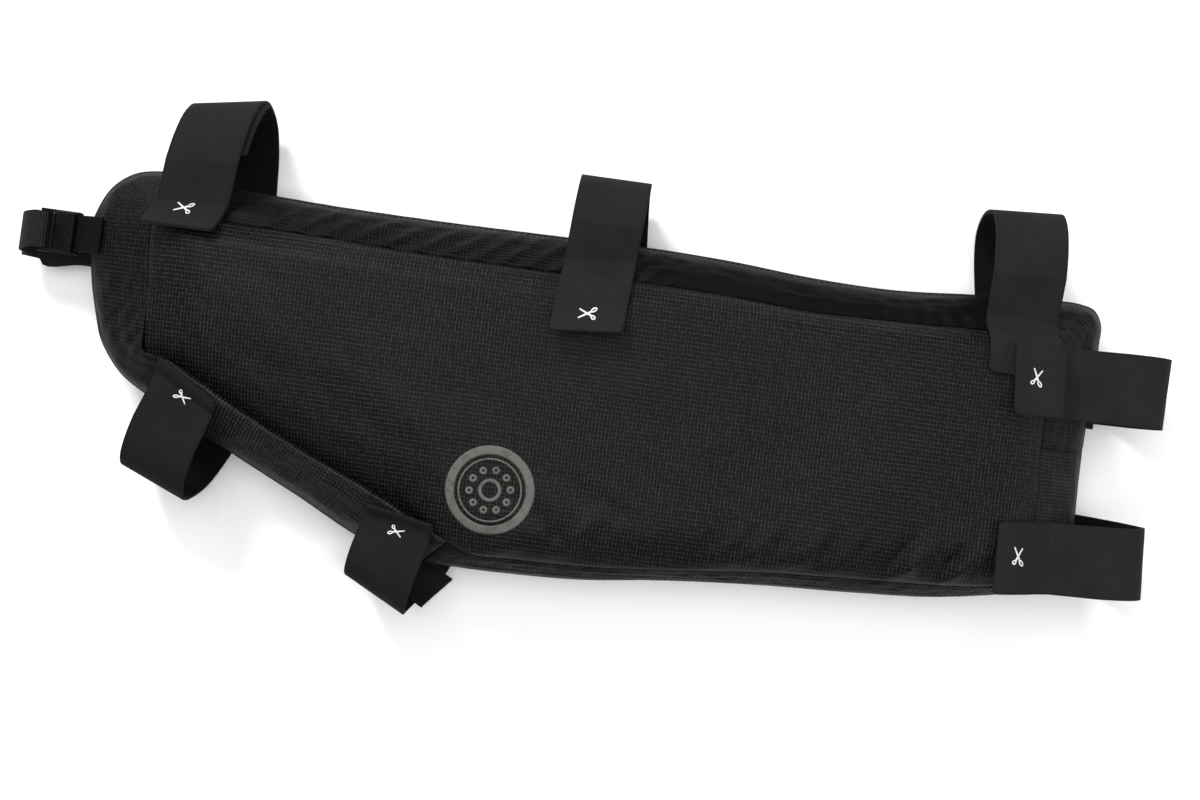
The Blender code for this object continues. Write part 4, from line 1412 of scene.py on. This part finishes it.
def ribbon(name, course, thickness):
    """A webbing band of even width that lies across Y and follows a course of points."""
    points = smooth_course([Vector(point) for point in course], RIBBON_STEPS)
    places = places_along(points)

    def place(column, row):
        side = (row / RIBBON_ROWS - 0.5) * WEBBING_WIDTH
        x, y, z = points[column]
        return Vector((x, y + side, z)), (places[column], side)

    item = mapped_grid(name, len(points) - 1, RIBBON_ROWS, place)
    return thicken(item, thickness, 0.0, 0.0003), places[-1]


def round_bar(x, y, z, radius, first, last):
    """Points round a bar along Y, from one angle to another, in degrees from +X towards +Z."""
    steps = round(abs(last - first) / 22.5)
    turns = [math.radians(first + (last - first) * step / steps) for step in range(steps + 1)]
    return [(x + radius * math.cos(turn), y, z + radius * math.sin(turn)) for turn in turns]


def soft_block(made, middle, size, rounding, tilt=0.0):
    """A block with rounded edges, tilted about its Y axis by degrees."""
    verts = bmesh.ops.create_cube(made, size=1.0)["verts"]
    turn = Matrix.Rotation(math.radians(-tilt), 4, "Y")
    matrix = Matrix.Translation(middle) @ turn @ Matrix.Diagonal((*size, 1.0))
    bmesh.ops.transform(made, matrix=matrix, verts=verts)
    edges = list({edge for vertex in verts for edge in vertex.link_edges})
    bmesh.ops.bevel(made, geom=edges, offset=rounding, offset_type="OFFSET", affect="EDGES",
                    segments=3, profile=0.5, material=-1, clamp_overlap=True)


class FRAMEBAG_OT_nose_fittings(bpy.types.Operator):
    """Sew on the nose webbing with its ladder-lock buckle"""
    bl_idname = "framebag.nose_fittings"
    bl_label = "Nose Fittings"

    def execute(self, context):
        thickness = context.scene.bag_bands.webbing_thickness
        trees = trees_of("front_cloth", "nose_side_cloth")
        _, along, up, _, _ = STATIONS[NOSE_STATION]
        ridge = on_ridge(along, up) + SHIFT - Vector((0.0, WEBBING_WIDTH / 2))
        level = BACK_SEAM_HEIGHT + SEAM_THICKNESS / 2
        inner = ridge.x - BUCKLE_GAP - BUCKLE_BAR_RADIUS
        outer = inner - BUCKLE_LENGTH + 2 * BUCKLE_BAR_RADIUS
        grip = inner - BUCKLE_GRIP_INSET - BUCKLE_GRIP_LENGTH / 2
        wrap = BUCKLE_BAR_RADIUS + PIECE_GAP + thickness / 2
        seat = ridge.x + WEBBING_SEAT
        lift = thickness + PIECE_GAP
        spots = [(seat + shift, ridge.y + side * WEBBING_WIDTH / 2)
                 for shift in (-thickness, 0.0) for side in (-1.0, -0.5, 0.0, 0.5, 1.0)]
        front_seat = max(top_of(trees, *spot) for spot in spots) + lift
        shoulder = level + NOSE_TAB_SHOULDER * (front_seat - level)
        course = [(seat, ridge.y, front_seat), (ridge.x, ridge.y, shoulder)]
        course += round_bar(inner, ridge.y, level, wrap, 90.0, 270.0)
        course.append((ridge.x - lift, ridge.y, level - wrap))
        tab, length = ribbon("nose_tab_webbing", course, thickness)
        dress(tab, material("tab webbing"), "webbing", "nose_tab")

        low_y = ridge.y - NOSE_STRAP_DROP
        spots = [(x, y - NOSE_STRAP_DROP) for x, y in spots]
        back_seat = min(underside_of(trees, *spot) for spot in spots) - lift
        radius = (level + wrap - back_seat) / 2
        turn = outer - NOSE_STRAP_REACH + radius
        course = [(x, low_y, back_seat) for x in (seat, inner, turn)]
        loop = round_bar(turn, ridge.y, back_seat + radius, radius, 270.0, 90.0)
        for index, (x, y, z) in enumerate(loop):
            course.append((x, y - NOSE_STRAP_DROP * (1 - (index + 1) / len(loop)), z))
        course += round_bar(outer, ridge.y, level, wrap, 90.0, 0.0)
        under_grip = level + (BUCKLE_RAIL_HEIGHT - BUCKLE_GRIP_HEIGHT) / 2 - lift
        course += [(x, ridge.y, under_grip) for x in (grip - BUCKLE_GRIP_LENGTH / 2, grip)]
        strap, length = ribbon("nose_strap_webbing", course, thickness)
        dress(strap, material("webbing"), "webbing", "nose_strap")

        made = bmesh.new()
        rail = (inner - outer + 2 * BUCKLE_BAR_RADIUS, BUCKLE_RAIL, BUCKLE_RAIL_HEIGHT)
        for side in (-1.0, 1.0):
            soft_block(made, ((inner + outer) / 2, ridge.y + side * BUCKLE_SPAN / 2, level), rail,
                       BUCKLE_RAIL * 0.35)
        for bar in (inner, outer):
            turn = Matrix.Translation((bar, ridge.y, level)) @ Matrix.Rotation(math.pi / 2, 4, "X")
            bmesh.ops.create_cone(made, cap_ends=True, segments=20, radius1=BUCKLE_BAR_RADIUS,
                                  radius2=BUCKLE_BAR_RADIUS, depth=BUCKLE_SPAN, matrix=turn)
        for ahead, rise, size, rounding in BUCKLE_PLATES:
            soft_block(made, (grip + ahead, ridge.y, level + rise), size, rounding,
                       BUCKLE_LEVER_TILT)
        shade_smooth(made)
        buckle = finish_mesh(made, "nose_ladder_lock")
        dress(buckle, material("plastic"), "plastic", "nose_buckle")
        return {"FINISHED"}


def area_light(name, place, aim, size, power):
    lamp = bpy.data.lights.new(name, "AREA")
    lamp.shape = "DISK"
    lamp.size = size
    lamp.energy = power
    item = bpy.data.objects.new(name, lamp)
    item.location = place
    item.rotation_euler = (Vector(aim) - Vector(place)).to_track_quat("-Z", "Y").to_euler()
    bpy.context.scene.collection.objects.link(item)


class FRAMEBAG_OT_stage(bpy.types.Operator):
    """Set up the pale floor, the soft lights and the camera"""
    bl_idname = "framebag.stage"
    bl_label = "Studio Stage"

    def execute(self, context):
        scene = context.scene
        stage = scene.bag_stage
        made = bmesh.new()
        bmesh.ops.create_grid(made, x_segments=1, y_segments=1, size=4.0)
        floor = finish_mesh(made, "pale_floor")
        floor_material, tree, shader = start_material("pale floor", 0.9, specular=0.1)
        tone = blend_colour(tree, noise_at(tree, object_place(tree), 3.0),
                            scaled(stage.floor_colour, 0.985), tuple(stage.floor_colour))
        tree.links.new(tone, shader.inputs["Base Color"])
        floor.data.materials.append(floor_material)

        for name, place, aim, size, strength in LIGHTS:
            area_light(name, place, aim, size, getattr(stage, strength))
        world = bpy.data.worlds.new("pale surround")
        world.use_nodes = True
        surround = world.node_tree.nodes["Background"]
        surround.inputs["Strength"].default_value = stage.surround
        surround.inputs["Color"].default_value = (1.0, 1.0, 1.0, 1.0)
        scene.world = world
        scene.view_settings.view_transform = "Standard"

        lens = bpy.data.cameras.new("photo camera")
        lens.lens = CAMERA_LENS
        lens.sensor_width = 36.0
        lens.sensor_fit = "HORIZONTAL"
        lens.clip_start = 0.01
        camera = bpy.data.objects.new("photo_camera", lens)
        camera.location = CAMERA_PLACE
        camera.rotation_euler = (0.0, 0.0, math.radians(CAMERA_ROLL))
        scene.collection.objects.link(camera)
        scene.camera = camera
        return {"FINISHED"}


OPERATORS = (
    FRAMEBAG_OT_stage,
    FRAMEBAG_OT_side_cloths,
    FRAMEBAG_OT_front_cloth,
    FRAMEBAG_OT_back_cloth,
    FRAMEBAG_OT_bands,
    FRAMEBAG_OT_nose_fittings,
    FRAMEBAG_OT_stitching,
    FRAMEBAG_OT_scissors_marks,
    FRAMEBAG_OT_round_print,
)
SETTINGS = (
    ("bag_cloth", BagClothSettings),
    ("bag_bands", BandSettings),
    ("bag_trim", TrimSettings),
    ("bag_stage", StageSettings),
)


class FRAMEBAG_PT_panel(bpy.types.Panel):
    """Sizes, colours and building steps of the frame bag"""
    bl_idname = "FRAMEBAG_PT_panel"
    bl_label = "Frame Bag"
    bl_space_type = "VIEW_3D"
    bl_region_type = "UI"
    bl_category = "Frame Bag"

    def draw(self, context):
        for name, group in SETTINGS:
            box = self.layout.box()
            for key in group.__annotations__:
                box.prop(getattr(context.scene, name), key)
        for operator in OPERATORS:
            self.layout.operator(operator.bl_idname)


def register():
    for name, group in SETTINGS:
        bpy.utils.register_class(group)
        setattr(bpy.types.Scene, name, PointerProperty(type=group))
    for operator in OPERATORS:
        bpy.utils.register_class(operator)
    bpy.utils.register_class(FRAMEBAG_PT_panel)


def unregister():
    bpy.utils.unregister_class(FRAMEBAG_PT_panel)
    for operator in reversed(OPERATORS):
        bpy.utils.unregister_class(operator)
    for name, group in reversed(SETTINGS):
        delattr(bpy.types.Scene, name)
        bpy.utils.unregister_class(group)


def main():
    for item in list(bpy.data.objects):
        if "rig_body" not in item and not item.name.startswith("body:"):
            bpy.data.objects.remove(item, do_unlink=True)
    register()
    bpy.ops.framebag.stage()
    bpy.ops.framebag.side_cloths()
    bpy.ops.framebag.front_cloth()
    bpy.ops.framebag.back_cloth()
    bpy.ops.framebag.bands()
    bpy.ops.framebag.nose_fittings()
    bpy.ops.framebag.stitching()
    bpy.ops.framebag.scissors_marks()
    bpy.ops.framebag.round_print()
    bpy.context.view_layer.update()


if __name__ == "__main__":
    main()
